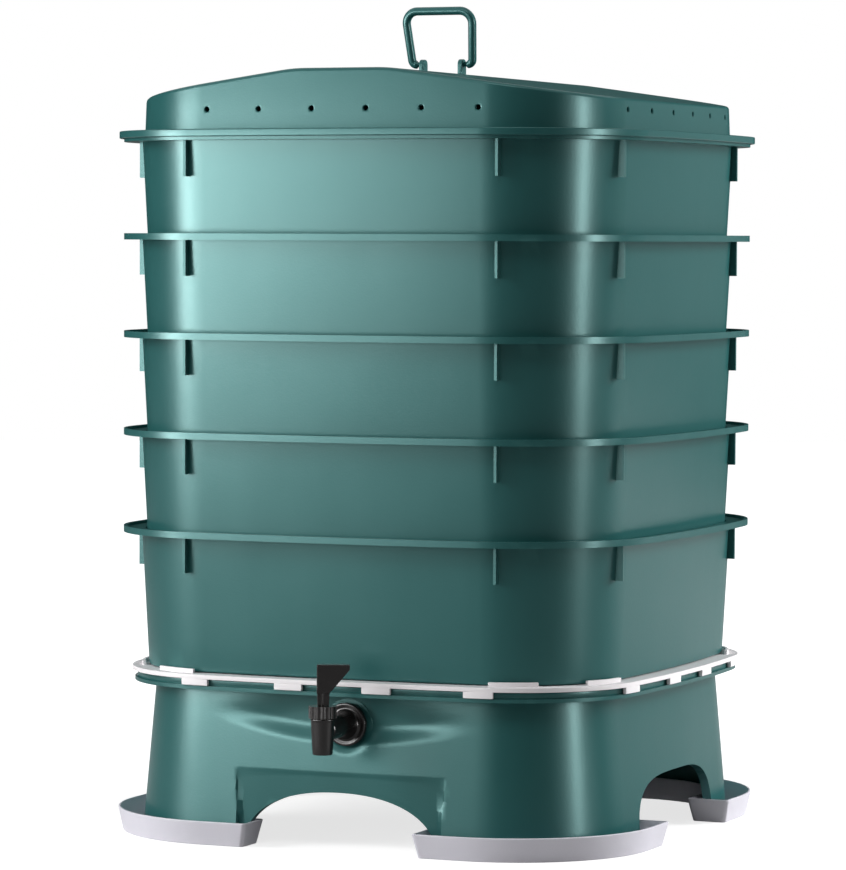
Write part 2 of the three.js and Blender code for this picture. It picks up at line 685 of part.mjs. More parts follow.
// Tap
function tapBody() {
  const neckTop = barrelTop + barrelNeckHeight;
  const valveSeatBottom = valveSeatHeight - valveSeatThickness;
  const barrel = turned(
    [
      [0, nozzleBottom],
      [nozzleTipRadius, nozzleBottom],
      [barrelRadius, barrelTop],
      [barrelNeckRadius, barrelTop],
      [barrelNeckRadius, neckTop],
      [0, neckTop],
    ],
    manySides,
  );
  const chamber = turned(
    [
      [0, nozzleBottom - overrun],
      [nozzleBoreRadius, nozzleBottom - overrun],
      [nozzleBoreRadius, valveSeatBottom],
      [valveSeatRadius, valveSeatBottom],
      [valveSeatRadius, valveSeatHeight],
      [barrelBoreRadius, valveSeatHeight],
      [barrelBoreRadius, neckTop + overrun],
      [0, neckTop + overrun],
    ],
    someSides,
  );
  const shankEnd = shankInside - tapWallInnerY;
  const arm = depthBar(tapArmRadius, -tapAxisY, -tapFlangeBackY, tapHeight, someSides);
  const flange = depthBar(tapFlangeRadius, -tapFlangeFrontY, -tapFlangeBackY, tapHeight, manySides);
  const shank = depthBar(shankRadius, -tapAxisY, shankEnd, tapHeight, someSides);
  const bore = depthBar(shankBoreRadius, -tapAxisY, shankEnd + overrun, tapHeight, fewSides);
  const atAxis = (geometry) => solid(geometry.translate(0, -tapAxisY, 0));
  const body = atAxis(barrel)
    .add(solid(arm))
    .add(solid(flange))
    .add(solid(shank))
    .subtract(atAxis(chamber))
    .subtract(solid(bore));
  return meshOf("tap_body", body, black);
}

// A plate round the shank, such as a washer or a nut.
function roundShank(radius, nearY, thickness, sides) {
  const farY = nearY + thickness;
  const plate = depthBar(radius, nearY, farY, tapHeight, sides);
  const hole = depthBar(shankRadius + runningGap, nearY - overrun, farY + overrun, tapHeight, someSides);
  return solid(plate).subtract(solid(hole));
}

function washer(name, nearY) {
  return meshOf(name, roundShank(washerRadius, nearY, washerThickness, manySides), rubber);
}

function lockNut(nearY) {
  const cornerRadius = nutAcrossFlats / 2 / Math.cos(Math.PI / nutSides);
  return meshOf("tap_lock_nut", roundShank(cornerRadius, nearY, nutThickness, nutSides), black);
}

function bonnet() {
  const outline = new THREE.Shape();
  const corners = 4 * bonnetRibs;
  for (let i = 0; i < corners; i++) {
    const angle = (i / corners) * 2 * Math.PI;
    const radius = i % 4 < 2 ? bonnetRadius : bonnetRadius - bonnetGroove;
    outline[i ? "lineTo" : "moveTo"](radius * Math.cos(angle), radius * Math.sin(angle));
  }
  const cap = new THREE.ExtrudeGeometry(outline, { depth: bonnetHeight, bevelEnabled: false, steps: 1 });
  const threadTop = bonnetTop - bonnetTopThickness;
  const thread = uprightBar(barrelNeckRadius + runningGap, bonnetBottom - overrun, threadTop, manySides);
  const stemHole = uprightBar(stemRadius + runningGap, bonnetBottom, bonnetTop + overrun, fewSides);
  const body = solid(cap.translate(0, 0, bonnetBottom)).subtract(solid(thread)).subtract(solid(stemHole));
  return meshOf("tap_bonnet", body, black);
}

// The stem runs from the plug up to a flat tongue inside the lever's slot.
function stem() {
  const stemTop = leverPinHeight + stemRadius;
  const rod = solid(uprightBar(stemRadius, valveSeatHeight + plugHeight / 2, stemTop, fewSides));
  const tongueHalf = stemTongueThickness / 2;
  const tongueBottom = bonnetTop - bonnetTopThickness;
  const reach = stemRadius + overrun;
  const cheek = block(-reach, tongueHalf, tongueBottom, reach, reach, stemTop + overrun);
  const otherCheek = cheek.clone().rotateZ(Math.PI);
  const eye = solid(depthBar(leverPinRadius + runningGap, -reach, reach, leverPinHeight, fewSides));
  return meshOf("tap_stem", rod.subtract(solid(cheek)).subtract(solid(otherCheek)).subtract(eye), black);
}

function seatPlug() {
  const bottom = valveSeatHeight + seatGap;
  const top = bottom + plugHeight;
  const socketBottom = valveSeatHeight + plugHeight / 2 - seatGap;
  const plug = turned(
    [
      [0, bottom],
      [plugRadius, bottom],
      [plugRadius, top],
      [stemRadius + seatGap, top],
      [stemRadius + seatGap, socketBottom],
      [0, socketBottom],
    ],
    someSides,
  );
  return meshOf("tap_seat_plug", solid(plug), silicone);
}

class Helix extends THREE.Curve {
  constructor(radius, turns, bottom, top) {
    super();
    Object.assign(this, { radius, turns, bottom, top });
  }
  getPoint(t, target = new THREE.Vector3()) {
    const angle = 2 * Math.PI * this.turns * t;
    const z = THREE.MathUtils.lerp(this.bottom, this.top, t);
    return target.set(this.radius * Math.cos(angle), this.radius * Math.sin(angle), z);
  }
}

function spring() {
  const bottom = valveSeatHeight + plugHeight + 2 * seatGap + springWire / 2;
  const top = bonnetTop - bonnetTopThickness - seatGap - springWire / 2;
  const section = new THREE.Shape();
  const reach = springWire / 2;
  for (let i = 0; i < springSides; i++) {
    const angle = (i / springSides) * 2 * Math.PI;
    section[i ? "lineTo" : "moveTo"](reach * Math.cos(angle), reach * Math.sin(angle));
  }
  const extrudePath = new Helix(springRadius, springTurns, bottom, top);
  const steps = springStepsPerTurn * springTurns;
  const wire = new THREE.ExtrudeGeometry(section, { extrudePath, steps, bevelEnabled: false });
  return meshOf("tap_spring", solid(wire), steel);
}

// A wedge in X and Z: a neck over the collar that widens into a thumb paddle on one side.
function lever() {
  const bottom = bonnetTop + seatGap;
  const top = bonnetTop + leverRise;
  const outline = new THREE.Shape();
  outline.moveTo(-leverBack, bottom);
  outline.lineTo(leverNeckHalf, bottom);
  outline.lineTo(leverNeckHalf, bonnetTop + leverNeckRise);
  outline.lineTo(leverReach, top - leverTipThickness);
  outline.lineTo(leverReach, top);
  outline.lineTo(-leverBack, top);
  const half = leverThickness / 2;
  const slotHalf = stemTongueThickness / 2 + runningGap;
  const slotReach = stemRadius + leverReach;
  const slotTop = leverPinHeight + stemRadius * Math.SQRT2 + 2 * runningGap; // clear of the tongue's corners
  const slot = block(-slotReach, -slotHalf, bottom - overrun, slotReach, slotHalf, slotTop);
  const holeRadius = leverPinRadius + runningGap;
  const pinHole = depthBar(holeRadius, -leverThickness, leverThickness, leverPinHeight, fewSides);
  const wedge = solid(slab(outline, -half, half));
  return meshOf("tap_lever", wedge.subtract(solid(slot)).subtract(solid(pinHole)), black);
}

function leverPin() {
  const half = leverThickness / 2;
  return meshOf("tap_lever_pin", solid(depthBar(leverPinRadius, -half, half, leverPinHeight, fewSides)), steel);
}

function tap() {
  const group = new THREE.Group();
  group.position.x = tapPlace;
  const outerWasherY = -tapSeatY - seatGap - washerThickness;
  const innerWasherY = -tapWallInnerY + seatGap;
  const head = new THREE.Group();
  head.position.y = -tapAxisY;
  head.rotation.z = headTurn;
  head.add(bonnet(), stem(), seatPlug(), spring(), lever(), leverPin());
  group.add(tapBody(), washer("tap_outer_washer", outerWasherY), washer("tap_inner_washer", innerWasherY));
  group.add(lockNut(innerWasherY + washerThickness + seatGap), head);
  return group;
}

// The whole wormery
const wormery = new THREE.Group();
wormery.add(antTray("ant_tray_front_right", 0), antTray("ant_tray_rear_right", 1));
wormery.add(antTray("ant_tray_rear_left", 2), antTray("ant_tray_front_left", 3));
wormery.add(stand(), tap(), dripGuard());
trayNames.forEach((name, level) => wormery.add(tray(name, trayBottoms[level])));
wormery.add(lid(), handle());
const tapFrontY = tapAxisY + bonnetRadius;
wormery.position.y = (tapFrontY - lidFlangeHalf) / 2;

export default wormery;
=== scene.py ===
# %% [markdown]
# # A five-tray worm composter
#
# The real object is a tower of moulded polypropylene. A skirted stand holds a sump with a tap, a white drip
# guard sits on it, five nested trays stack above, and a gabled lid with a bail handle closes the top.
#
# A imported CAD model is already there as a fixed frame: it knows where every part is and how it moves. This
# script dresses it. Each piece is modelled again with finer edges in the place of its CAD node, and rides on
# the body that the node belongs to, so the joints keep working.

# %% Load the frame
import math

import bmesh
import bpy
from mathutils import Matrix, Vector


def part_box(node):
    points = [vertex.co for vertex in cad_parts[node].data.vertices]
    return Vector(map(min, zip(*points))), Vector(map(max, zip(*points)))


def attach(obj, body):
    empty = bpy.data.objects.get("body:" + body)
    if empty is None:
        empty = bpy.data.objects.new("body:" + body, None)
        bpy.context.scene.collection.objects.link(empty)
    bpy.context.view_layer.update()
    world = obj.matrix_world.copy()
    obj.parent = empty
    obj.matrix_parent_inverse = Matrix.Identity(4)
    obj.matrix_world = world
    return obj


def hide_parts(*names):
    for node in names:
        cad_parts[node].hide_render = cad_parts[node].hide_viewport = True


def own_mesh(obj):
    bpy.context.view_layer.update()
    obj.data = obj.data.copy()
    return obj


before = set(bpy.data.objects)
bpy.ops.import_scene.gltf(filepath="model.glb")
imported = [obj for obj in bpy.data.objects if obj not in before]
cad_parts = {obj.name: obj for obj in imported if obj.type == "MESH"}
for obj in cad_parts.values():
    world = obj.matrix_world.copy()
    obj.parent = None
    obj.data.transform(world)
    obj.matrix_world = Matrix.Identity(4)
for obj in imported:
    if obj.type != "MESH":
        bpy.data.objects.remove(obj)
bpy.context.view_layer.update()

# %% [markdown]
# ## The camera
#
# A product photograph of a tall object is taken from far away with a long lens, which keeps the upright lines
# upright. One could aim a camera by eye, but here the place and the three angles were solved from the ends of
# the flanges, so they are written down as numbers: the direction of view, then a small roll about it.

# %% Place the camera
MM = 0.001
CAMERA_PLACE = Vector((1234.7, -2939.8, 421.4)) * MM
CAMERA_YAW = 0.4002
CAMERA_PITCH = 0.0445
CAMERA_ROLL = 0.004
SENSOR_WIDTH = 36.0
LENS = 188.41

camera_data = bpy.data.cameras.new("studio camera")
camera_data.sensor_fit = "HORIZONTAL"
camera_data.sensor_width = SENSOR_WIDTH
camera_data.lens = LENS
camera_data.clip_start = 0.1
camera_data.clip_end = 50.0
camera = bpy.data.objects.new("studio camera", camera_data)
bpy.context.collection.objects.link(camera)
bpy.context.scene.camera = camera
bpy.context.scene.view_settings.view_transform = "Standard"

level = math.cos(CAMERA_PITCH)
forward = Vector((-math.sin(CAMERA_YAW) * level, math.cos(CAMERA_YAW) * level, -math.sin(CAMERA_PITCH)))
flat_right = Vector((math.cos(CAMERA_YAW), math.sin(CAMERA_YAW), 0.0))
flat_up = flat_right.cross(forward)
right = flat_right * math.cos(CAMERA_ROLL) + flat_up * math.sin(CAMERA_ROLL)
up = right.cross(forward)
camera.matrix_world = Matrix.Translation(CAMERA_PLACE) @ Matrix((right, up, -forward)).transposed().to_4x4()
print("camera distance:", round(CAMERA_PLACE.length, 3), "m")

# %% [markdown]
# ## Studio
#
# The photograph is a cut-out on white. A broad soft box at the left gives the long pale sheen down the left half
# of the front, which fades towards the middle, and a narrow strip at the right draws one bright line round the
# near corner. Between the two there is little light, and the plastic goes deep green.
#
# The light that falls on the object and the light that is mirrored in it are set apart: a lamp can do one, the
# other or both. The fading soft box is four mirrored lamps of falling strength, side by side, and black cards
# stand wherever the reflections have to stay dark.
#
# A white room could be built from planes, but then it would also brighten every reflection. A world that is
# white for the camera and for reflections, and dim for the light that falls on the object, keeps the
# background white and the colours as written.

# %% Helpers for nodes and objects
NODE_STEP = 220  # between nodes in the editor
WHITE = (1.0, 1.0, 1.0, 1.0)


def new_node(tree, kind, **settings):
    """Adds a node. A setting is one of its properties, or else one of its inputs, with _ for a space."""
    node = tree.nodes.new(kind)
    node.location.x = NODE_STEP * len(tree.nodes)
    for key, value in settings.items():
        if hasattr(node, key):
            setattr(node, key, value)
        else:
            node.inputs[key.replace("_", " ")].default_value = value
    return node


def join(tree, *links):
    """Joins nodes. Each link is a node, its output, another node and its input."""
    for source, output, target, into in links:
        tree.links.new(source.outputs[output], target.inputs[into])


def new_material(name, **inputs):
    """A material, its node tree, and its surface shader with some inputs set."""
    material = bpy.data.materials.new(name)
    material.use_nodes = True
    surface = material.node_tree.nodes["Principled BSDF"]
    for key, value in inputs.items():
        surface.inputs[key.replace("_", " ")].default_value = value
    return material, material.node_tree, surface


def to_object(bm, name, material):
    """Puts a mesh on an object of its own at the origin."""
    mesh = bpy.data.meshes.new(name)
    bm.to_mesh(mesh)
    bm.free()
    mesh.materials.append(material)
    made = bpy.data.objects.new(name, mesh)
    bpy.context.collection.objects.link(made)
    return made


def turn(bm, verts, angle, axis="Z"):
    """Rotates points about an axis through the origin."""
    bmesh.ops.rotate(bm, verts=verts, cent=(0, 0, 0), matrix=Matrix.Rotation(angle, 3, axis))


def shift(bm, verts, x=0.0, y=0.0, z=0.0):
    """Moves points."""
    bmesh.ops.translate(bm, verts=verts, vec=(x, y, z))


QUARTER = math.pi / 2  # of a turn
print("helpers ready")

# %% World, white to look at and dim as a lamp
FILL_STRENGTH = 0.18

world = bpy.data.worlds.new("studio world")
bpy.context.scene.world = world
world.use_nodes = True
tree = world.node_tree
tree.nodes.clear()
ray = new_node(tree, "ShaderNodeLightPath")
seen = new_node(tree, "ShaderNodeMath", operation="MAXIMUM")
seen_or_through = new_node(tree, "ShaderNodeMath", operation="MAXIMUM")
fill = new_node(tree, "ShaderNodeBackground", Color=WHITE, Strength=FILL_STRENGTH)
white_room = new_node(tree, "ShaderNodeBackground", Color=WHITE, Strength=1.0)
choice = new_node(tree, "ShaderNodeMixShader")
world_out = new_node(tree, "ShaderNodeOutputWorld")
join(
    tree, (ray, "Is Camera Ray", seen, 0), (ray, "Is Glossy Ray", seen, 1), (seen, 0, seen_or_through, 0),
    (ray, "Is Transmission Ray", seen_or_through, 1), (seen_or_through, 0, choice, 0), (fill, 0, choice, 1),
    (white_room, 0, choice, 2), (choice, 0, world_out, "Surface"),
)
print("fill strength:", FILL_STRENGTH)

# %% Lamps
AIM = Vector((0.0, 0.0, 0.30))


def soft_box(name, azimuth, height, distance, width, tall, radiance, lights=True, mirrored=True):
    """A rectangular lamp on a stand. Azimuth is measured from the front of the object, round to its right.

    A lamp may light surfaces, be mirrored in them, or both."""
    data = bpy.data.lights.new(name, "AREA")
    data.shape = "RECTANGLE"
    data.size, data.size_y = width, tall
    data.energy = radiance * math.pi * width * tall
    lamp = bpy.data.objects.new(name, data)
    bpy.context.collection.objects.link(lamp)
    angle = math.radians(azimuth)
    place = Vector((math.sin(angle) * distance, -math.cos(angle) * distance, height))
    lamp.matrix_world = Matrix.Translation(place) @ (place - AIM).to_track_quat("Z", "Y").to_matrix().to_4x4()
    lamp.visible_diffuse = lights
    lamp.visible_glossy = mirrored
    return lamp


soft_box("key", -58.0, 1.0, 2.6, 1.2, 1.6, 12.0, mirrored=False)
soft_box("sheen on the left corner", -53.0, 0.40, 1.5, 0.42, 0.46, 27.0, lights=False)
soft_box("sheen on the left half", -37.0, 0.40, 1.5, 0.38, 0.46, 16.0, lights=False)
soft_box("sheen on the right half", -23.0, 0.40, 1.5, 0.38, 0.46, 9.3, lights=False)
soft_box("faint end of the sheen", -10.0, 0.40, 1.5, 0.26, 0.46, 5.0, lights=False)
soft_box("right strip", 84.0, 0.48, 2.4, 0.24, 0.8, 42.0, lights=False)
soft_box("side box", 132.0, 0.9, 2.6, 1.0, 1.4, 25.0, mirrored=False)
soft_box("faint side sheen", 155.0, 0.75, 2.6, 1.4, 1.2, 0.3, lights=False)
soft_box("top box", 10.0, 2.6, 2.4, 1.6, 1.2, 3.0)

# %% Black cards that only reflections see
CARD_PLACES = (-161.0, -123.0, -85.0, 15.0, 48.0, 127.0, 162.0)  # degrees round from the front
CARD_DISTANCE = 3.0
CARD_WIDTH = 2.05
CARD_BOTTOM, CARD_TOP = -0.2, 2.4

card_paint, tree, surface = new_material(
    "card", Base_Color=(0.012, 0.014, 0.014, 1.0), Roughness=0.9, Specular_IOR_Level=0.0,
)
for azimuth in CARD_PLACES:
    bm = bmesh.new()
    bmesh.ops.create_grid(bm, x_segments=8, y_segments=1, size=0.5)
    turn(bm, bm.verts, QUARTER, "X")
    bmesh.ops.scale(bm, verts=bm.verts, vec=(CARD_WIDTH, 1.0, CARD_TOP - CARD_BOTTOM))
    shift(bm, bm.verts, y=-CARD_DISTANCE, z=(CARD_TOP + CARD_BOTTOM) / 2)
    turn(bm, bm.verts, math.radians(azimuth))
    panel = to_object(bm, f"card at {azimuth:.0f} degrees", card_paint)
    panel.visible_camera = False
    panel.visible_diffuse = False
    panel.visible_shadow = False
print("cards:", len(CARD_PLACES))

# %% Floor
FLOOR_RADIUS = 6.0
GLOW_NEAR, GLOW_FAR = 0.75, 1.0  # how white the camera sees it, under the object and away from it
GLOW_REACH = (0.25, 1.5)  # where the first ends and the second begins

floor_paint, tree, surface = new_material(
    "pale floor", Base_Color=(0.45, 0.45, 0.45, 1.0), Roughness=0.9, Specular_IOR_Level=0.1, Emission_Color=WHITE,
)
ray = new_node(tree, "ShaderNodeLightPath")
seen = new_node(tree, "ShaderNodeMath", operation="MULTIPLY")
where = new_node(tree, "ShaderNodeTexCoord")
reach = new_node(tree, "ShaderNodeVectorMath", operation="LENGTH")
glow = new_node(
    tree, "ShaderNodeMapRange", interpolation_type="SMOOTHSTEP", From_Min=GLOW_REACH[0], From_Max=GLOW_REACH[1],
    To_Min=GLOW_NEAR, To_Max=GLOW_FAR,
)
join(
    tree, (where, "Object", reach, 0), (reach, "Value", glow, "Value"), (ray, "Is Camera Ray", seen, 0),
    (glow, "Result", seen, 1), (seen, 0, surface, "Emission Strength"),
)
bm = bmesh.new()
bmesh.ops.create_circle(bm, cap_ends=True, segments=96, radius=FLOOR_RADIUS)
to_object(bm, "floor", floor_paint)
print("floor radius:", FLOOR_RADIUS, "m")

# %% [markdown]
# ## Finishes
#
# All of the plastic was made in moulds, and a moulded surface has the same few faults everywhere: a fine orange
# peel, faint streaks where the melt ran, and slow waves that bend long reflections. Its edges catch thin lines of
# light too, and these are painted on as a lighter colour. Painting these anew for each colour would repeat the
# same nodes six times. They are two node groups with named inputs, and each material holds them with its own values.
#
# The pattern reads object coordinates. Every piece keeps its object at the origin and its place in its mesh, so
# one metre in the pattern is one metre on the object.

# %% Node group: moulded skin
def node_group(name, inputs, outputs):
    """A node group with named sockets. Gives back its tree, its two ends, and a node of coordinates."""
    tree = bpy.data.node_groups.new(name, "ShaderNodeTree")
    for socket, default in inputs.items():
        made = tree.interface.new_socket(name=socket, in_out="INPUT", socket_type="NodeSocketFloat")
        made.default_value = default
    for socket in outputs:
        tree.interface.new_socket(name=socket, in_out="OUTPUT", socket_type="NodeSocketFloat")
    return tree, *(new_node(tree, kind) for kind in ("NodeGroupInput", "NodeGroupOutput", "ShaderNodeTexCoord"))


def moulded_skin():
    """Fine peel, melt streaks and slow waves, as a height, a roughness and two masks."""
    tree, given, out, where = node_group("moulded skin", {
        "Peel Scale": 700.0, "Peel Height": 0.4, "Wave Height": 1.0, "Streak Scale": 26.0, "Roughness": 0.3,
        "Roughness Spread": 0.08,
    }, ("Height", "Roughness", "Streaks", "Scuffs"))

    peel = new_node(tree, "ShaderNodeTexNoise", Detail=3.0, Roughness=0.55)
    wave = new_node(tree, "ShaderNodeTexNoise", Scale=11.0, Detail=1.5)
    peel_high = new_node(tree, "ShaderNodeMath", operation="MULTIPLY")
    height = new_node(tree, "ShaderNodeMath", operation="MULTIPLY_ADD")
    join(
        tree, (where, "Object", peel, "Vector"), (given, "Peel Scale", peel, "Scale"),
        (where, "Object", wave, "Vector"), (peel, "Fac", peel_high, 0), (given, "Peel Height", peel_high, 1),
        (wave, "Fac", height, 0), (given, "Wave Height", height, 1), (peel_high, 0, height, 2),
        (height, 0, out, "Height"),
    )

    # Melt streaks run up the walls, so the pattern is stretched along Z.
    stretch = new_node(tree, "ShaderNodeMapping", Scale=(1.0, 1.0, 0.12))
    streak = new_node(tree, "ShaderNodeTexNoise", Detail=4.0, Roughness=0.6)
    join(
        tree, (where, "Object", stretch, "Vector"), (stretch, "Vector", streak, "Vector"),
        (given, "Streak Scale", streak, "Scale"), (streak, "Fac", out, "Streaks"),
    )

    # Handling leaves short fine scratches where a second, finer noise is high.
    slant = new_node(tree, "ShaderNodeMapping", Scale=(1.0, 1.0, 9.0), Rotation=(0.5, 0.35, 0.2))
    scratch = new_node(tree, "ShaderNodeTexNoise", Scale=90.0, Detail=5.0, Roughness=0.7)
    scuffs = new_node(tree, "ShaderNodeMapRange", From_Min=0.60, From_Max=0.78)
    join(
        tree, (where, "Object", slant, "Vector"), (slant, "Vector", scratch, "Vector"),
        (scratch, "Fac", scuffs, "Value"), (scuffs, "Result", out, "Scuffs"),
    )

    # Roughness: the value of the material, plus or minus its spread, and a little more on the scratches.
    swing = new_node(tree, "ShaderNodeMath", operation="SUBTRACT")
    swing.inputs[1].default_value = 0.5
    rough = new_node(tree, "ShaderNodeMath", operation="MULTIPLY_ADD")
    scuffed = new_node(tree, "ShaderNodeMath", operation="MULTIPLY_ADD")
    scuffed.inputs[1].default_value = 0.06
    join(
        tree, (streak, "Fac", swing, 0), (swing, 0, rough, 0), (given, "Roughness Spread", rough, 1),
        (given, "Roughness", rough, 2), (scuffs, "Result", scuffed, 0), (rough, 0, scuffed, 2),
        (scuffed, 0, out, "Roughness"),
    )
    return tree


skin_group = moulded_skin()
print("node group:", skin_group.name)

# %% Node group: painted edge highlight
def painted_edge_highlight():
    """A mask of the outer edges of a shape, broken up by noise, where a lighter colour is painted on as a highlight.
    """
    tree, given, out, where = node_group("painted edge highlight", {"Breaks Scale": 60.0}, ("Edges",))
    shape = new_node(tree, "ShaderNodeNewGeometry")
    edge = new_node(tree, "ShaderNodeMapRange", From_Min=0.53, From_Max=0.64)
    breaks = new_node(tree, "ShaderNodeTexNoise", Detail=3.0)
    broken = new_node(tree, "ShaderNodeMapRange", From_Min=0.35, From_Max=0.6)
    mask = new_node(tree, "ShaderNodeMath", operation="MULTIPLY")
    join(
        tree, (shape, "Pointiness", edge, "Value"), (where, "Object", breaks, "Vector"),
        (given, "Breaks Scale", breaks, "Scale"), (breaks, "Fac", broken, "Value"), (edge, "Result", mask, 0),
        (broken, "Result", mask, 1), (mask, 0, out, "Edges"),
    )
    return tree


edge_highlight_group = painted_edge_highlight()
print("node group:", edge_highlight_group.name)

# %% One recipe for all of the moulded finishes
def moulded_finish(name, body, streaked, edge, roughness, spread, peel, wave, bump, sheen=(1.0, 1.0, 1.0)):
    """A moulded material: two shades of one colour, a third painted on the edges as a highlight, sheen tint and bump.
    """
    finish, tree, surface = new_material(name, Specular_Tint=(*sheen, 1.0))
    skin = new_node(
        tree, "ShaderNodeGroup", node_tree=skin_group, Peel_Height=peel, Wave_Height=wave, Roughness=roughness,
        Roughness_Spread=spread,
    )
    # A mask of the outer edges, where the third colour is painted on as a highlight.
    edges = new_node(tree, "ShaderNodeGroup", node_tree=edge_highlight_group)
    shade = new_node(tree, "ShaderNodeMix", data_type="RGBA", A=(*body, 1.0), B=(*streaked, 1.0))
    edge_lit = new_node(tree, "ShaderNodeMix", data_type="RGBA", B=(*edge, 1.0))
    relief = new_node(tree, "ShaderNodeBump", Strength=1.0, Distance=bump)
    join(
        tree, (skin, "Streaks", shade, "Factor"), (shade, "Result", edge_lit, "A"), (edges, "Edges", edge_lit, "Factor"),
        (edge_lit, "Result", surface, "Base Color"), (skin, "Roughness", surface, "Roughness"),
        (skin, "Height", relief, "Height"), (relief, "Normal", surface, "Normal"),
    )
    return finish


# The names are the material slots.
# The third colour of each finish is the painted highlight on its edges.
finishes = {
    "green_plastic": moulded_finish(
        "green polypropylene", (0.0155, 0.086, 0.084), (0.020, 0.096, 0.094), (0.040, 0.140, 0.136),
        roughness=0.30, spread=0.07, peel=0.10, wave=1.0, bump=0.0005, sheen=(0.60, 1.0, 0.98),
    ),
    "white_plastic": moulded_finish(
        "white polypropylene", (0.80, 0.77, 0.79), (0.84, 0.81, 0.82), (0.88, 0.86, 0.87),
        roughness=0.42, spread=0.10, peel=0.15, wave=0.8, bump=0.0004,
    ),
    "pale_grey_plastic": moulded_finish(
        "lavender grey polypropylene", (0.68, 0.665, 0.735), (0.73, 0.715, 0.78), (0.80, 0.79, 0.83),
        roughness=0.40, spread=0.10, peel=0.15, wave=0.8, bump=0.0004,
    ),
    "black_plastic": moulded_finish(
        "black nylon", (0.0085, 0.0070, 0.0070), (0.013, 0.0105, 0.0105), (0.035, 0.032, 0.032),
        roughness=0.26, spread=0.10, peel=0.20, wave=0.3, bump=0.0002,
    ),
    "silicone": moulded_finish(
        "milky silicone", (0.68, 0.64, 0.58), (0.72, 0.69, 0.63), (0.76, 0.73, 0.68),
        roughness=0.55, spread=0.12, peel=0.30, wave=0.3, bump=0.0002,
    ),
    "rubber": moulded_finish(
        "washer rubber", (0.010, 0.010, 0.010), (0.016, 0.016, 0.016), (0.040, 0.040, 0.040),
        roughness=0.75, spread=0.15, peel=0.60, wave=0.3, bump=0.0002,
    ),
}
print("moulded finishes:", len(finishes))

# %% Steel, drawn into wire, with fine marks from the die
finishes["steel"], tree, surface = new_material("drawn steel", Metallic=1.0)
where = new_node(tree, "ShaderNodeTexCoord")
marks = new_node(tree, "ShaderNodeTexNoise", Scale=1500.0, Detail=4.0)
tone = new_node(tree, "ShaderNodeMix", data_type="RGBA", A=(0.46, 0.47, 0.49, 1.0), B=(0.60, 0.61, 0.63, 1.0))
rough = new_node(tree, "ShaderNodeMapRange", To_Min=0.18, To_Max=0.38)
join(
    tree, (where, "Object", marks, "Vector"), (marks, "Fac", tone, "Factor"),
    (tone, "Result", surface, "Base Color"), (marks, "Fac", rough, "Value"), (rough, "Result", surface, "Roughness"),
)
print("finishes:", len(finishes))

# %% [markdown]
# ## The outline that the square pieces share
#
# Stand, guard, trays and lid are squares seen from above, with large round corners and sides that bow out a
# little. The bow stiffens the thin wall, and it is what spreads the soft box into a wide sheen instead of a
# hard rectangle. A square with bevelled corners has flat sides and a visible crease where the round begins.
#
# Here the outline is drawn as eight arcs, each spun on from the end of the last, so that the curve has no
# crease. All loops share their arc centres, so a loop of another half-width runs parallel to the first: that
# is what keeps the walls of nested trays the same distance apart all round.

# %% Values of the outline
CORNER = 96 * MM  # from the middle to the centre of a corner's round, along X and Y
BOW = 4 * MM  # how far the middle of a side stands out beyond the corner's own tangent
MIDDLE_Y = 12.4 * MM  # the stack's middle plane lies a little behind the origin, which is half-way to the tap
BOW_TURN = 2 * math.atan(BOW / CORNER)
SIDE_CENTRE = CORNER / math.sin(BOW_TURN) - CORNER - BOW
AXIS = Vector((0.0, 0.0, 1.0))
print("the side arcs turn by", round(math.degrees(2 * BOW_TURN), 2), "degrees")


# %% Draw the outline, and move a loop to another half-width
def arc_at(x, y):
    """The arc of the outline that a point lies on: its centre, and how much its radius exceeds the half-width."""
    past_x, past_y = abs(x) - CORNER, abs(y) - CORNER
    bearing = math.atan2(past_x, past_y)
    if past_x > 0 and past_y > 0 and BOW_TURN < bearing < QUARTER - BOW_TURN:
        return Vector((math.copysign(CORNER, x), math.copysign(CORNER, y))), -BOW - CORNER
    if abs(y) > abs(x):
        return Vector((0.0, -math.copysign(SIDE_CENTRE, y))), SIDE_CENTRE
    return Vector((-math.copysign(SIDE_CENTRE, x), 0.0)), SIDE_CENTRE


def settle(verts, half, height):
    """Moves points straight out or in until they lie on the outline of that half-width, at that height."""
    for vert in verts:
        centre, excess = arc_at(vert.co.x, vert.co.y)
        spot = centre + (vert.co.xy - centre).normalized() * (half + excess)
        vert.co = (spot.x, spot.y, height)


def points_in(items):
    """The points among what an operator made."""
    return [item for item in items if isinstance(item, bmesh.types.BMVert)]


def edges_in(items):
    """The edges among what an operator made."""
    return [item for item in items if isinstance(item, bmesh.types.BMEdge)]


def new_point(bm, *place):
    """A single point."""
    return bmesh.ops.create_vert(bm, co=place)["vert"][0]


def sweep(bm, geom, centre, axis, angle, steps, rise=0.0, closed=False):
    """Spins points, edges or a face round an axis, and lifts them at each step. Gives back the last copy."""
    return bmesh.ops.spin(
        bm, geom=geom, cent=centre, axis=axis, dvec=(0.0, 0.0, rise), angle=angle, steps=steps, use_merge=closed,
        use_duplicate=False,
    )["geom_last"]


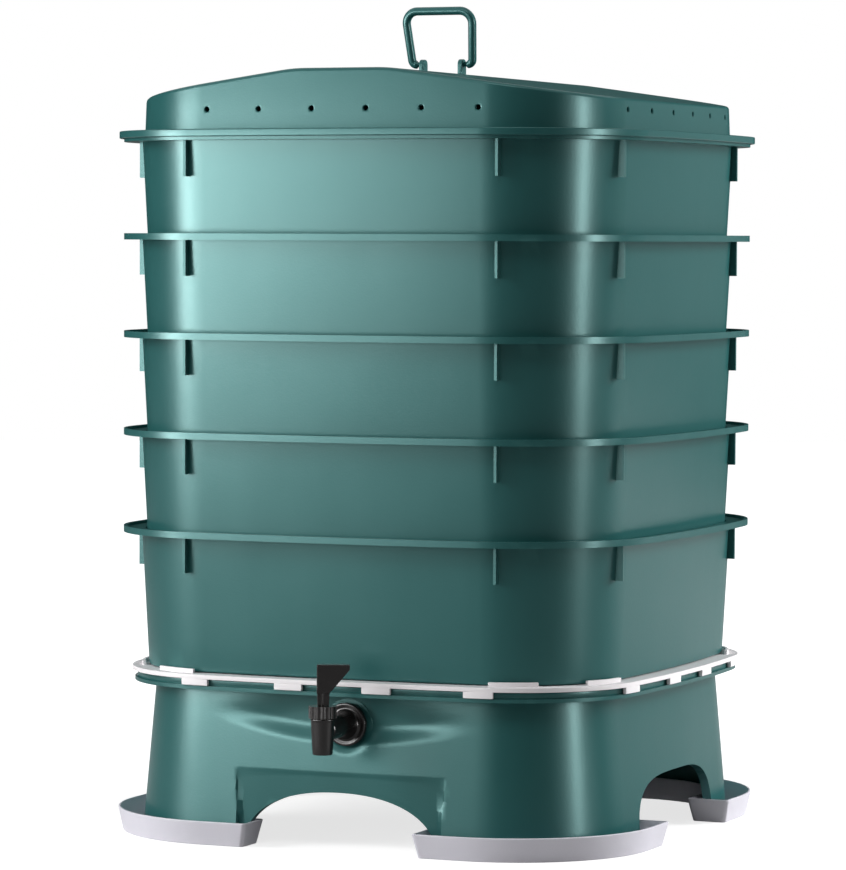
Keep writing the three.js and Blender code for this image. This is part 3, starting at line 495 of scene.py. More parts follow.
def draw_outline(bm, half, height, side_steps=12, corner_steps=16):
    """A closed ring of edges, drawn by spinning one point through eight arcs."""
    first = last = new_point(bm, 0.0, -half, height)
    side_middle = Vector((0.0, SIDE_CENTRE, height))
    first.co = side_middle + Matrix.Rotation(-BOW_TURN, 3, "Z") @ (first.co - side_middle)
    arcs = (
        (side_middle, 2 * BOW_TURN, side_steps),
        (Vector((CORNER, -CORNER, height)), QUARTER - 2 * BOW_TURN, corner_steps),
    )
    for quarter in range(4):
        aside = Matrix.Rotation(quarter * QUARTER, 3, "Z")
        for centre, angle, steps in arcs:
            last = points_in(sweep(bm, [last], aside @ centre, AXIS, angle, steps))[0]
    bmesh.ops.pointmerge(bm, verts=[first, last], merge_co=first.co)
    walk, ring, previous = first, [], None
    while True:
        onward = next(edge for edge in walk.link_edges if edge is not previous and edge.is_wire)
        ring.append(onward)
        walk, previous = onward.other_vert(walk), onward
        if walk is first:
            return ring


def verts_of(items):
    """The points of some edges or faces, each once."""
    return list({vert for item in items for vert in item.verts})


def extrude_line(bm, line):
    """Extrudes edges. Gives back the new points, and the edges that join them."""
    made = bmesh.ops.extrude_edge_only(bm, edges=line)["geom"]
    points = points_in(made)
    chosen = set(points)
    return points, [edge for edge in edges_in(made) if all(vert in chosen for vert in edge.verts)]


def run_wall(bm, ring, levels):
    """Extrudes a ring through a list of half-widths and heights. Gives back the last ring."""
    for half, height in levels:
        points, ring = extrude_line(bm, ring)
        settle(points, half, height)
    return ring


# %% [markdown]
# ## From a skin to a moulded wall
#
# A moulding has one wall thickness almost everywhere, so the quickest true model is a skin without thickness
# that is then made solid. After that the sharp edges get a small round, as no mould leaves a knife edge, and
# every edge of the real thing shows as a thin line of light for that reason.

# %% Helpers that finish a piece
SHARP = math.radians(32)
FLAT_WEIGHT = 60  # how much more a large face counts in the shading than a small one
SAME_PLACE = 1e-6  # points nearer than this are one point


def thicken(bm, wall, inside):
    """Turns a skin into a wall. The skin's faces are first turned away from the point that is inside it."""
    bmesh.ops.recalc_face_normals(bm, faces=bm.faces)
    nearest = min(bm.faces, key=lambda face: (face.calc_center_median() - Vector(inside)).length)
    if nearest.normal.dot(nearest.calc_center_median() - Vector(inside)) < 0:
        bmesh.ops.reverse_faces(bm, faces=bm.faces)
    bmesh.ops.solidify(bm, geom=bm.faces[:], thickness=wall)


def sharp_edges(bm, faces=None):
    """The edges at which two faces meet at more than the sharp angle."""
    edges = {edge for face in faces for edge in face.edges} if faces else bm.edges
    return [edge for edge in edges if len(edge.link_faces) == 2 and edge.calc_face_angle(0.0) > SHARP]


def soften(bm, radius, segments=2, edges=None):
    """Rounds edges over. Without a list it takes every sharp one."""
    chosen = sharp_edges(bm) if edges is None else edges
    return bmesh.ops.bevel(
        bm, geom=chosen, offset=radius, offset_type="OFFSET", segments=segments, profile=0.5,
        affect="EDGES", clamp_overlap=True, material=-1,
    )


def add_plate(bm, low, high):
    """A block between two corners, for a rib or a tab. Gives back its points."""
    low, high = Vector(low), Vector(high)
    size = high - low
    place = Matrix.Translation((low + high) / 2) @ Matrix.Diagonal((*size, 1.0))
    return bmesh.ops.create_cube(bm, size=1.0, matrix=place)["verts"]


def made_since(bm, before):
    """The faces that were not there before, turned outwards."""
    made = [face for face in bm.faces if face not in before]
    bmesh.ops.recalc_face_normals(bm, faces=made)
    return made


def spin_profile(bm, profile, steps=48):
    """Spins a line of (radius, height) points right round the Z axis."""
    points = [new_point(bm, radius, 0.0, height) for radius, height in profile]
    closed = profile[0][0] > 0
    pairs = list(zip(points, points[1:])) + ([(points[-1], points[0])] if closed else [])
    edges = [bm.edges.new(pair) for pair in pairs]
    before = set(bm.faces)
    sweep(bm, points + edges, (0, 0, 0), AXIS, 4 * QUARTER, steps, closed=True)
    bmesh.ops.remove_doubles(bm, verts=verts_of(made_since(bm, before)), dist=SAME_PLACE)
    return made_since(bm, before)


def finish_piece(bm, name, node, body, slot, weighted=True):
    """Puts the mesh on an object, which stands for a CAD node and rides on its body."""
    shift(bm, bm.verts, y=MIDDLE_Y)
    piece = to_object(bm, name, finishes[slot])
    mesh = piece.data
    for polygon in mesh.polygons:
        polygon.use_smooth = True
    if weighted:
        piece.modifiers.new("flat faces stay flat", "WEIGHTED_NORMAL").weight = FLAT_WEIGHT
    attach(piece, body)
    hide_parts(node)
    corners = (Vector(pick(vert.co[i] for vert in mesh.vertices) for i in range(3)) for pick in (min, max))
    off = max((made - asked).length for made, asked in zip(corners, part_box(node))) / MM
    print(f"{name}: {len(mesh.polygons)} faces, corners within {off:.1f} mm of the node's")
    return piece


# %% [markdown]
# ## The perforated floor
#
# Worms climb from tray to tray through the holes in the floor, and liquid drains down through them. Cutting a
# hundred holes with booleans is slow and leaves ragged faces. A grid has a face for each hole already: each
# face is inset, its inner square gets more points, these move onto a circle, and the middle is deleted.

# %% A sheet with a square grid of round holes
def perforated_sheet(bm, count, spacing, radius, height):
    """A flat grid of cells with a round hole in each. Gives back the edges round the outside."""
    size = count * spacing / 2
    bmesh.ops.create_grid(bm, x_segments=count, y_segments=count, size=size)
    shift(bm, bm.verts, z=height)
    cells = bm.faces[:]
    bmesh.ops.inset_individual(bm, faces=cells, thickness=spacing / 2 - radius, depth=0.0)
    rims = [edge for cell in cells for edge in cell.edges]
    bmesh.ops.subdivide_edges(bm, edges=rims, cuts=1, use_grid_fill=False)
    holes = [face for face in bm.faces if len(face.edges) == 8 and face.calc_area() < (2.2 * radius) ** 2]
    for hole in holes:
        middle = hole.calc_center_median()
        for vert in hole.verts:
            vert.co = middle + (vert.co - middle).normalized() * radius
    bmesh.ops.delete(bm, geom=holes, context="FACES_ONLY")
    return [
        edge for edge in bm.edges
        if edge.is_boundary and all(max(abs(v.co.x), abs(v.co.y)) > size - 1e-5 for v in edge.verts)
    ]


# %% [markdown]
# ## The working trays
#
# Five alike trays nest 30 mm deep in one another. Each has a perforated floor, a wall that leans out a little so
# that it leaves the mould, a flange with a lip for fingers, eight ribs under the flange and eight uprights
# inside on which the next tray stands. A tray could be a box that is hollowed out, but its section is easier to
# read as a path: from the floor round the foot, up the wall, out under the flange and up its lip.

# %% Values of the trays
TRAY_PITCH = 69 * MM
TRAY_DEPTH = 99 * MM
TRAY_BOTTOM = 117.9 * MM  # of the lowest one
TRAY_WALL_HALF = 186.8 * MM
TRAY_FOOT_HALF = 181.8 * MM
FLANGE_HALF = 200.0 * MM
FLANGE_HEIGHT = 4.5 * MM
WALL = 2.5 * MM
HOLE_SPACING = 80 / 3 * MM
RIB_PLACE = 116.7 * MM  # of the ribs and the uprights, along a side
RIB_HALF = 1.0 * MM
RIB_HEIGHT = 25 * MM
RIB_DEPTHS = (-184.5 * MM, -178.4 * MM)
UPRIGHT_HALF = 2 * MM
UPRIGHT_DEPTHS = (-177.2 * MM, -170.3 * MM)
print("trays:", round(TRAY_DEPTH / MM, 1), "mm deep,", round(TRAY_PITCH / MM, 1), "mm apart")


# %% One tray
def wall_levels(bottom, top, half_bottom, half_top, count):
    """Evenly spaced levels up a leaning wall."""
    shares = [step / count for step in range(1, count + 1)]
    return [(half_bottom + (half_top - half_bottom) * s, bottom + (top - bottom) * s) for s in shares]


def around(bm, verts):
    """Copies some faces to the other three sides."""
    geom = list({face for vert in verts for face in vert.link_faces}) + list(verts)
    geom += list({edge for vert in verts for edge in vert.link_edges})
    for quarter in (1, 2, 3):
        turn(bm, points_in(bmesh.ops.duplicate(bm, geom=geom)["geom"]), quarter * QUARTER)


def add_rib(bm, place, flange_bottom):
    """A plate under the flange. Its outer edge is upright, so it grows deeper as the wall leans away."""
    top, foot = flange_bottom + 1.2 * MM, flange_bottom - RIB_HEIGHT
    outer, inner = RIB_DEPTHS
    rib = add_plate(bm, (place - RIB_HALF, outer, foot), (place + RIB_HALF, inner, top))
    for vert in rib:
        if vert.co.z < top - RIB_HEIGHT / 2 and vert.co.y > (outer + inner) / 2:
            vert.co.y += 0.8 * MM
    around(bm, rib)


def add_upright(bm, place, floor_top, top):
    """An upright plate inside the wall that carries the next tray. Its back leans with the wall."""
    outer, inner = UPRIGHT_DEPTHS
    upright = add_plate(bm, (place - UPRIGHT_HALF, outer, floor_top - MM), (place + UPRIGHT_HALF, inner, top))
    for vert in upright:
        if vert.co.z < floor_top and vert.co.y < (outer + inner) / 2:
            vert.co.y += 3.3 * MM
    around(bm, upright)


def make_tray():
    """A tray that stands on the ground."""
    flange_bottom = TRAY_DEPTH - FLANGE_HEIGHT
    foot_round = 2.0 * MM
    bm = bmesh.new()
    square = perforated_sheet(bm, 10, HOLE_SPACING, 5 * MM, 0.0)
    ring = draw_outline(bm, TRAY_FOOT_HALF - foot_round, 0.0)
    bmesh.ops.bridge_loops(bm, edges=square + ring)
    run_wall(bm, ring, [
        (TRAY_FOOT_HALF - 0.6 * MM, 0.6 * MM),
        (TRAY_FOOT_HALF, foot_round),
        *wall_levels(foot_round, flange_bottom, TRAY_FOOT_HALF, TRAY_WALL_HALF, 5),
        (FLANGE_HALF, flange_bottom),
        (FLANGE_HALF, TRAY_DEPTH),
    ])
    thicken(bm, WALL, (0.0, 0.0, TRAY_DEPTH))
    for place in (-RIB_PLACE, RIB_PLACE):
        add_rib(bm, place, flange_bottom)
        add_upright(bm, place, WALL, TRAY_PITCH - 0.3 * MM)
    soften(bm, 0.7 * MM)
    return bm


TRAY_BODIES = ("lower_tray", "second_tray", "third_tray", "fourth_tray", "upper_tray")
pattern_tray = make_tray()
for level, body in enumerate(TRAY_BODIES):
    bm = pattern_tray.copy()
    shift(bm, bm.verts, z=TRAY_BOTTOM + level * TRAY_PITCH)
    finish_piece(bm, f"worm_tray_{level + 1}", f"tray_{level + 1}", body, "green_plastic")
pattern_tray.free()

# %% [markdown]
# ## The lid
#
# The lid is a shallow box with a skirt that reaches over the top tray's flange. Its roof rises to a flat ridge
# that runs from front to back, so rain runs off to both sides, and a row of small vents goes round its walls.
#
# Modelling the gable as two sloping planes that are cut off by curved walls means many intersections. It is
# easier to make a lid with a flat roof, cut lines across the roof where it will fold, and then lift every point
# of the roof by a height that depends on its X alone: a shear, which leaves each strip of the roof flat.

# %% Values of the lid
LID_SKIRT_HALF = 203.3 * MM
LID_FOOT_HALF = 185.0 * MM
LID_TOP_HALF = 183.4 * MM
SKIRT_BOTTOM = 490.7 * MM
LID_WEB_TOP = 495.7 * MM
EAVES = 517.0 * MM
RIDGE = 537.5 * MM
RIDGE_HALF = 35.5 * MM
FOLD = 9 * MM  # half of the width over which the roof bends
FALL = (RIDGE - EAVES) / (LID_TOP_HALF - RIDGE_HALF)
VENT_HEIGHT = 509.7 * MM
VENT_RADIUS = 1.9 * MM
VENT_CELL = 2.6 * MM  # half of the square that a vent is cut from
VENT_PLACES = [(i - 2.5) * 40.6 * MM for i in range(6)]
SEAM_ASIDE = math.radians(1.6)
PIVOT = 546.3 * MM
LUG_PLACE = 15.05 * MM
LUG_SIZE = Vector((3.5, 9.0, 0.0)) * MM
LUG_TOP = PIVOT + 3.6 * MM
print("the roof falls by", round(math.degrees(math.atan(FALL)), 1), "degrees")


# %% Cuts, roof and vents
def cut_across(bm, faces, axis, place):
    """Splits faces where they cross an upright plane."""
    normal = Vector((1.0, 0.0, 0.0)) if axis == "x" else Vector((0.0, 1.0, 0.0))
    geom = list(faces) + list({edge for face in faces for edge in face.edges}) + verts_of(faces)
    bmesh.ops.bisect_plane(bm, geom=geom, dist=0.3 * MM, plane_co=normal * place, plane_no=normal)


def faces_where(bm, rule):
    """The faces whose middle passes a test."""
    return [face for face in bm.faces if rule(face.calc_center_median())]


def cut_sides(bm, axis, places, rule):
    """Cuts upright lines at some places into the two walls that run along an axis, at heights that pass a test."""
    across = "y" if axis == "x" else "x"
    for place in places:
        wall = faces_where(bm, lambda c: rule(c.z) and abs(getattr(c, across)) > abs(getattr(c, axis)))
        cut_across(bm, wall, axis, place)


def roof_height(x):
    """The roof's height over a place: flat, then a soft bend, then an even slope."""
    past = abs(x) - RIDGE_HALF
    if past > FOLD:
        return RIDGE - FALL * past
    return RIDGE - FALL * max(0.0, past + FOLD) ** 2 / (4 * FOLD)


def open_vents(bm):
    """A round hole through the wall at each vent's place."""
    cell_ends = [place + side * VENT_CELL for place in VENT_PLACES for side in (-1, 1)]
    for axis in "xy":
        cut_sides(bm, axis, cell_ends, lambda z: abs(z - VENT_HEIGHT) < VENT_CELL / 2)
    cells = faces_where(bm, lambda c: abs(c.z - VENT_HEIGHT) < VENT_CELL / 2 and any(
        abs(min(abs(c.x), abs(c.y)) - abs(place)) < 0.4 * MM for place in VENT_PLACES))
    bmesh.ops.inset_individual(bm, faces=cells, thickness=0.5 * MM, depth=0.0)
    bmesh.ops.subdivide_edges(bm, edges=list({edge for cell in cells for edge in cell.edges}), cuts=1)
    for cell in cells:
        middle = cell.calc_center_median()
        for vert in cell.verts:
            vert.co = middle + (vert.co - middle).normalized() * VENT_RADIUS
    bmesh.ops.delete(bm, geom=cells, context="FACES_ONLY")
    return len(cells)


def make_lid():
    """The lid's shell, its vents, and the two lugs that hold the handle."""
    bm = bmesh.new()
    ring = draw_outline(bm, LID_SKIRT_HALF, SKIRT_BOTTOM)
    # The column of points at each join of two arcs would run through a vent, so it is turned aside.
    for vert in verts_of(ring):
        bearing = math.atan2(abs(vert.co.x) - CORNER, abs(vert.co.y) - CORNER)
        for seam, angle in ((BOW_TURN, BOW_TURN + SEAM_ASIDE), (QUARTER - BOW_TURN, QUARTER - BOW_TURN - SEAM_ASIDE)):
            if abs(bearing - seam) < 1e-3:
                reach = LID_SKIRT_HALF - BOW - CORNER
                vert.co.x = math.copysign(CORNER + reach * math.sin(angle), vert.co.x)
                vert.co.y = math.copysign(CORNER + reach * math.cos(angle), vert.co.y)

    def half_at(height):
        share = (height - LID_WEB_TOP) / (RIDGE - LID_WEB_TOP)
        return LID_FOOT_HALF + (LID_TOP_HALF - LID_FOOT_HALF) * share

    levels = (LID_WEB_TOP, VENT_HEIGHT - VENT_CELL, VENT_HEIGHT + VENT_CELL, EAVES)
    ring = run_wall(bm, ring, [(LID_SKIRT_HALF, LID_WEB_TOP)] + [(half_at(z), z) for z in levels])
    bmesh.ops.contextual_create(bm, geom=ring)
    print("vents:", open_vents(bm))
    for side in (-1, 1):
        for step in range(-3, 4):
            faces = faces_where(bm, lambda c: c.z > VENT_HEIGHT + VENT_CELL)
            cut_across(bm, faces, "x", side * (RIDGE_HALF + FOLD * step / 3))
    for vert in bm.verts:
        if vert.co.z > EAVES - 0.1 * MM:
            height = roof_height(vert.co.x)
            neighbours = [edge.other_vert(vert).co.z for edge in vert.link_edges]
            if any(abs(z - VENT_HEIGHT - VENT_CELL) < SAME_PLACE for z in neighbours):
                settle([vert], half_at(height), height)
            else:
                vert.co.z = height
    thicken(bm, WALL, (0.0, 0.0, SKIRT_BOTTOM))
    eaves_edges = [
        edge for edge in sharp_edges(bm)
        if all(abs(v.co.z - roof_height(v.co.x)) < 0.05 * MM for v in edge.verts)
    ]
    soften(bm, 2.4 * MM, 4, eaves_edges)
    for side in (-1, 1):
        place = Vector((side * LUG_PLACE, 0.0, 0.0))
        low, high = place - LUG_SIZE / 2, place + LUG_SIZE / 2
        lug = add_plate(bm, (*low.xy, RIDGE - MM), (*high.xy, LUG_TOP))
        shoulders = [
            edge for edge in {edge for vert in lug for edge in vert.link_edges}
            if all(v.co.z > PIVOT for v in edge.verts) and abs(edge.verts[0].co.x - edge.verts[1].co.x) > MM
        ]
        soften(bm, 3.9 * MM, 6, shoulders)
    soften(bm, 0.6 * MM)
    return bm


finish_piece(make_lid(), "gabled_lid", "lid", "cover", "green_plastic")

# %% [markdown]
# ## The handle of the lid
#
# A bail of moulded rod: a straight grip, two round corners, two legs that come a little together, and a foot on
# each that turns in to become the pin. A curve with a round bevel would do it too. With operators a circle of
# points is carried along instead: extruded where the rod is straight, spun where it bends. Half of it is made
# and mirrored.

# %% The bail
GRIP_HALF = 16.5 * MM
GRIP_HEIGHT = 38.8 * MM  # over the pivot
ROD = 3.0 * MM
PIN = 1.8 * MM
GRIP_BEND = 9 * MM
FOOT_BEND = 3.4 * MM
LEG_LEAN = math.atan2(2.5, 32.8)
HANDLE_LEAN = math.radians(12)


def carry_on(bm, ring, along, scale=1.0):
    """Extrudes a ring of edges along a vector, and scales the new end."""
    points, ring = extrude_line(bm, ring)
    bmesh.ops.translate(bm, verts=points, vec=along)
    middle = sum((vert.co for vert in points), Vector()) / len(points)
    bmesh.ops.scale(bm, verts=points, vec=(scale,) * 3, space=Matrix.Translation(-middle))
    return ring


def bend_on(bm, ring, centre, axis, angle, steps):
    """Spins a ring of edges about an axis, and gives back the ring at the end."""
    return edges_in(sweep(bm, verts_of(ring) + ring, centre, axis, angle, steps))


def make_bail():
    """Half of the rod from the middle of the grip to the tip of a pin, then its mirror image."""
    bm = bmesh.new()
    bmesh.ops.create_circle(bm, cap_ends=False, segments=20, radius=ROD)
    turn(bm, bm.verts, QUARTER, "Y")
    shift(bm, bm.verts, z=GRIP_HEIGHT)
    ring = carry_on(bm, bm.edges[:], (GRIP_HALF, 0.0, 0.0))
    sideways = Vector((0.0, 1.0, 0.0))
    centre = Vector((GRIP_HALF, 0.0, GRIP_HEIGHT - GRIP_BEND))
    ring = bend_on(bm, ring, centre, sideways, QUARTER + LEG_LEAN, 10)
    down = Vector((-math.sin(LEG_LEAN), 0.0, -math.cos(LEG_LEAN)))
    inwards = Vector((-math.cos(LEG_LEAN), 0.0, math.sin(LEG_LEAN)))
    leg_top = centre - inwards * GRIP_BEND
    leg_foot_height = FOOT_BEND * (1 - math.sin(LEG_LEAN))
    leg = (leg_top.z - leg_foot_height) / math.cos(LEG_LEAN)
    for _ in range(4):
        ring = carry_on(bm, ring, down * leg / 4)
    foot_centre = leg_top + down * leg + inwards * FOOT_BEND
    ring = bend_on(bm, ring, foot_centre, sideways, QUARTER - LEG_LEAN, 6)
    tip = foot_centre.x - 13 * MM
    ring = carry_on(bm, ring, (-1.2 * MM, 0.0, 0.0), PIN / ROD)
    ring = carry_on(bm, ring, (1.2 * MM - tip + 0.4 * MM, 0.0, 0.0))
    ring = carry_on(bm, ring, (-0.4 * MM, 0.0, 0.0), 0.75)
    bmesh.ops.contextual_create(bm, geom=ring)
    bmesh.ops.mirror(bm, geom=bm.verts[:] + bm.edges[:] + bm.faces[:], axis="X", merge_dist=SAME_PLACE)
    bmesh.ops.remove_doubles(bm, verts=bm.verts, dist=SAME_PLACE)
    bmesh.ops.recalc_face_normals(bm, faces=bm.faces)
    turn(bm, bm.verts, HANDLE_LEAN, "X")
    shift(bm, bm.verts, z=PIVOT)
    return bm


finish_piece(make_bail(), "bail_handle", "lid_handle", "bail", "green_plastic", weighted=False)

# %% [markdown]
# ## The stand
#
# The stand is a skirt that flares to its feet. Four arches open its sides, a sump floor hangs at half height,
# and the front wall is pressed in under the rim to make a flat seat for the tap. The lower edge of the pressed-in
# part is what the eye reads as a soft crescent of light on each side of the tap.
#
# Arches could be cut with booleans, but on a curved wall these leave long thin faces that shade badly. Here the
# lower rows of the skirt are lifted until their lowest row follows the arch, as cloth is gathered on a rod, and
# extra columns are cut in first where the arch is steep.

# %% Values of the stand
STAND_FOOT = 2.3 * MM
STAND_FOOT_HALF = 185.6 * MM
STAND_TOP_HALF = 176.4 * MM
RIM_HALF = 191.7 * MM
RIM_BOTTOM = 107.1 * MM
STAND_WALL = 2.6 * MM
SUMP_FLOOR = 59.5 * MM
PANEL_TOP = 51.5 * MM
PANEL_STEP = 1.6 * MM
PANEL_HALF = 77 * MM
PANEL_BACK = 0.4 * MM
FRONT_ARCH = {"half": 72 * MM, "height": 39.5 * MM, "power": 2.2}
SIDE_ARCH = {"half": 76 * MM, "height": 46 * MM, "power": 3.4}
RIM_LIP = (189.8 * MM, 2 * MM, 114.1 * MM)  # outer half-width, thickness, top
LIP_DEPTH = 6.5 * MM
TAP_HEIGHT = 86.9 * MM
TAP_SIDE = 5 * MM  # how far the tap and its scoop stand to the right of the middle
TAP_SEAT = 174.9 * MM  # the face of the tap's seat, in front of the stack's middle plane
SCOOP_HALF = 130 * MM
SCOOP_FLOOR = 174.4 * MM
SCOOP_EDGE = 172.5 * MM
SCOOP_LOWER = 79 * MM
SCOOP_RISE = 24 * MM
SEAT_PRESS = (8 * MM, 22 * MM)  # from the tap's axis, where the seat's own dent begins to fade and ends
print("the tap's axis is", round(TAP_HEIGHT / MM, 1), "mm above the ground")


# %% Shape of the skirt
def stand_half(height):
    """Half-width of the flared skirt at a height."""
    share = (height - STAND_FOOT) / (RIM_BOTTOM - STAND_FOOT)
    return STAND_FOOT_HALF + (STAND_TOP_HALF - STAND_FOOT_HALF) * share


def arch_height(along, arch):
    """The underside of an arch over a place along its side, or the foot where there is no arch."""
    share = min(1.0, abs(along) / arch["half"])
    return max(STAND_FOOT, arch["height"] * (1 - share ** arch["power"]) ** (1 / arch["power"]))


def smooth_step(value, low, high):
    """0 below low, 1 above high, and an S-shaped ramp between."""
    share = min(1.0, max(0.0, (value - low) / (high - low)))
    return share * share * (3 - 2 * share)


def gather_arches(bm):
    """Lifts the lower rows so that their lowest row follows the arches."""
    for arch, axis in ((FRONT_ARCH, "x"), (SIDE_ARCH, "y")):
        columns = [
            side * arch["half"] * math.cos(step / 10 * QUARTER) ** (2 / arch["power"])
            for step in range(10) for side in (-1, 1)
        ]
        if axis == "x":
            columns += [side * (PANEL_HALF + extra) for side in (-1, 1) for extra in (0.0, PANEL_STEP)]
        cut_sides(bm, axis, columns, lambda z: z < PANEL_TOP + PANEL_STEP)
    for vert in bm.verts:
        if vert.co.z < PANEL_TOP - 0.01 * MM:
            facing_front = abs(vert.co.y) > abs(vert.co.x)
            along, arch = (vert.co.x, FRONT_ARCH) if facing_front else (vert.co.y, SIDE_ARCH)
            lowest = arch_height(along, arch)
            share = (vert.co.z - STAND_FOOT) / (PANEL_TOP - STAND_FOOT)
            height = lowest + (PANEL_TOP - lowest) * share
            settle([vert], stand_half(height), height)


def upright_panel(bm):
    """Sets the panel round the front arch upright: each column falls straight from the panel's top edge."""
    for vert in bm.verts:
        if vert.co.y < 0 and abs(vert.co.x) < PANEL_HALF + 0.2 * MM and vert.co.z < PANEL_TOP + 0.01 * MM:
            centre, excess = arc_at(vert.co.x, vert.co.y)
            reach = stand_half(PANEL_TOP) + excess
            edge_y = centre.y - math.sqrt(reach**2 - (vert.co.x - centre.x) ** 2)
            vert.co.y = max(vert.co.y, edge_y + PANEL_BACK)


def press_scoop(bm):
    """Presses the front wall in behind the tap."""
    for vert in bm.verts:
        x, y, z = vert.co
        x -= TAP_SIDE
        if y > 0 or abs(x) > SCOOP_HALF or not PANEL_TOP + PANEL_STEP <= z <= RIM_BOTTOM + 0.01 * MM:
            continue
        share = (x / SCOOP_HALF) ** 2
        lower = SCOOP_LOWER + SCOOP_RISE * share
        depth = -y - (SCOOP_FLOOR + (SCOOP_EDGE - SCOOP_FLOOR) * share)
        if depth > 0:
            scoop = smooth_step(z, lower - 7 * MM, lower + 7 * MM)
            seat = 1 - smooth_step(math.hypot(x, z - TAP_HEIGHT), *SEAT_PRESS)
            vert.co.y += depth * smooth_step(depth, 0.0, 3 * MM) * (1 - (1 - scoop) * (1 - seat))


def add_arch_lips(bm):
    """Turns the edge of each arch inwards as a lip."""
    rim = [
        edge for edge in bm.edges
        if edge.is_boundary and max(v.co.z for v in edge.verts) > STAND_FOOT + 0.01 * MM
        and max(v.co.z for v in edge.verts) < PANEL_TOP
    ]
    for vert in extrude_line(bm, rim)[0]:
        if abs(vert.co.y) > abs(vert.co.x):
            vert.co.y -= math.copysign(LIP_DEPTH, vert.co.y)
        else:
            vert.co.x -= math.copysign(LIP_DEPTH, vert.co.x)


def add_sump_floor(bm):
    """The floor of the sump and the ribs under it."""
    before = set(bm.faces)
    half = stand_half(SUMP_FLOOR) - 2.4 * MM
    ring = draw_outline(bm, half, SUMP_FLOOR)
    bmesh.ops.contextual_create(bm, geom=ring)
    top = run_wall(bm, ring, [(half, SUMP_FLOOR + 3 * MM)])
    bmesh.ops.contextual_create(bm, geom=top)
    made_since(bm, before)
    reach, low, high, thin = 175 * MM, SUMP_FLOOR - 8 * MM, SUMP_FLOOR + 0.5 * MM, 1.25 * MM
    for place in (-55 * MM, 55 * MM):
        add_plate(bm, (place - thin, -reach, low), (place + thin, reach, high))
        add_plate(bm, (-reach, place - thin, low), (reach, place + thin, high))


def add_rim_lip(bm):
    """The upstand on the rim that the drip guard goes round."""
    half, thick, top = RIM_LIP
    before = set(bm.faces)
    bottom = RIM_BOTTOM + MM
    ring = draw_outline(bm, half, bottom)
    soft = 0.5 * MM
    last = run_wall(bm, ring, [
        (half, top - soft), (half - soft, top), (half - thick + soft, top), (half - thick, top - soft),
        (half - thick, bottom),
    ])
    bmesh.ops.bridge_loops(bm, edges=ring + last)
    made_since(bm, before)


def face_front(bm, faces, height=TAP_HEIGHT, aside=TAP_SIDE, depth=TAP_SEAT):
    """Turns what was spun about Z to point out of the front. Its heights become depths in front of the seat."""
    points = verts_of(faces)
    turn(bm, points, QUARTER, "X")
    shift(bm, points, aside, -depth, height)


def make_stand():
    """The skirt with its arches, panel, scoop and rim, then the sump's floor and the tap's seat."""
    bm = bmesh.new()
    ring = draw_outline(bm, STAND_FOOT_HALF, STAND_FOOT, side_steps=56, corner_steps=18)
    over_panel = PANEL_TOP + PANEL_STEP
    ring = run_wall(bm, ring, [
        *wall_levels(STAND_FOOT, PANEL_TOP, STAND_FOOT_HALF, stand_half(PANEL_TOP), 7),
        (stand_half(over_panel), over_panel),
        *wall_levels(over_panel, RIM_BOTTOM, stand_half(over_panel), STAND_TOP_HALF, 40),
    ])
    gather_arches(bm)
    upright_panel(bm)
    press_scoop(bm)
    run_wall(bm, ring, [(RIM_HALF, RIM_BOTTOM)])
    add_arch_lips(bm)
    thicken(bm, STAND_WALL, (0.0, 0.0, 80 * MM))
    soften(bm, 0.6 * MM)
    add_sump_floor(bm)
    add_rim_lip(bm)
    seat = [(0.0, -3.6 * MM), (18 * MM, -3.6 * MM), (18 * MM, -0.3 * MM), (17.4 * MM, 0.0), (0.0, 0.0)]
    face_front(bm, spin_profile(bm, seat))
    return bm


finish_piece(make_stand(), "sump_stand", "base_stand", "stand", "green_plastic")

# %% [markdown]
# ## The drip guard
#
# A white perforated plate lies between the stand and the lowest tray. It stands on tabs that point down and
# holds the tray with tabs that point up. The plate is a perforated sheet with its rim turned down. A tab is a
# small rectangle that is spun about the centre of the arc on which it lies, so that it follows the outline.

# %% The guard
GUARD_HALF = 193.6 * MM
GUARD_TOP = 117.6 * MM
GUARD_EDGE_BOTTOM = 114.4 * MM
GUARD_FOOT_BOTTOM = 110.0 * MM
KEEPER_TOP = 120.6 * MM
KEEPER_HALF = 186.6 * MM
FOOT_PLACES = (-106.5 * MM, -33 * MM, 33 * MM, 106.5 * MM)
KEEPER_PLACES = (-127 * MM, 127 * MM)


def add_arc_tab(bm, place, reach, half, depth, bottom, top):
    """A tab on the outline of that half-width, on each of the four sides."""
    centre, excess = arc_at(place, -half)
    radius = half + excess
    start, end = (math.asin((place + side * reach - centre.x) / radius) for side in (-1, 1))
    before = set(bm.faces)
    pivot, aim = Vector((*centre, 0.0)), Matrix.Rotation(start, 3, "Z")
    corners = [
        new_point(bm, *(pivot + aim @ Vector((0.0, -distance, height))))
        for distance, height in ((radius, bottom), (radius, top), (radius - depth, top), (radius - depth, bottom))
    ]
    section = bm.faces.new(corners)
    sweep(bm, corners + list(section.edges) + [section], pivot, AXIS, end - start, 6)
    around(bm, verts_of(made_since(bm, before)))


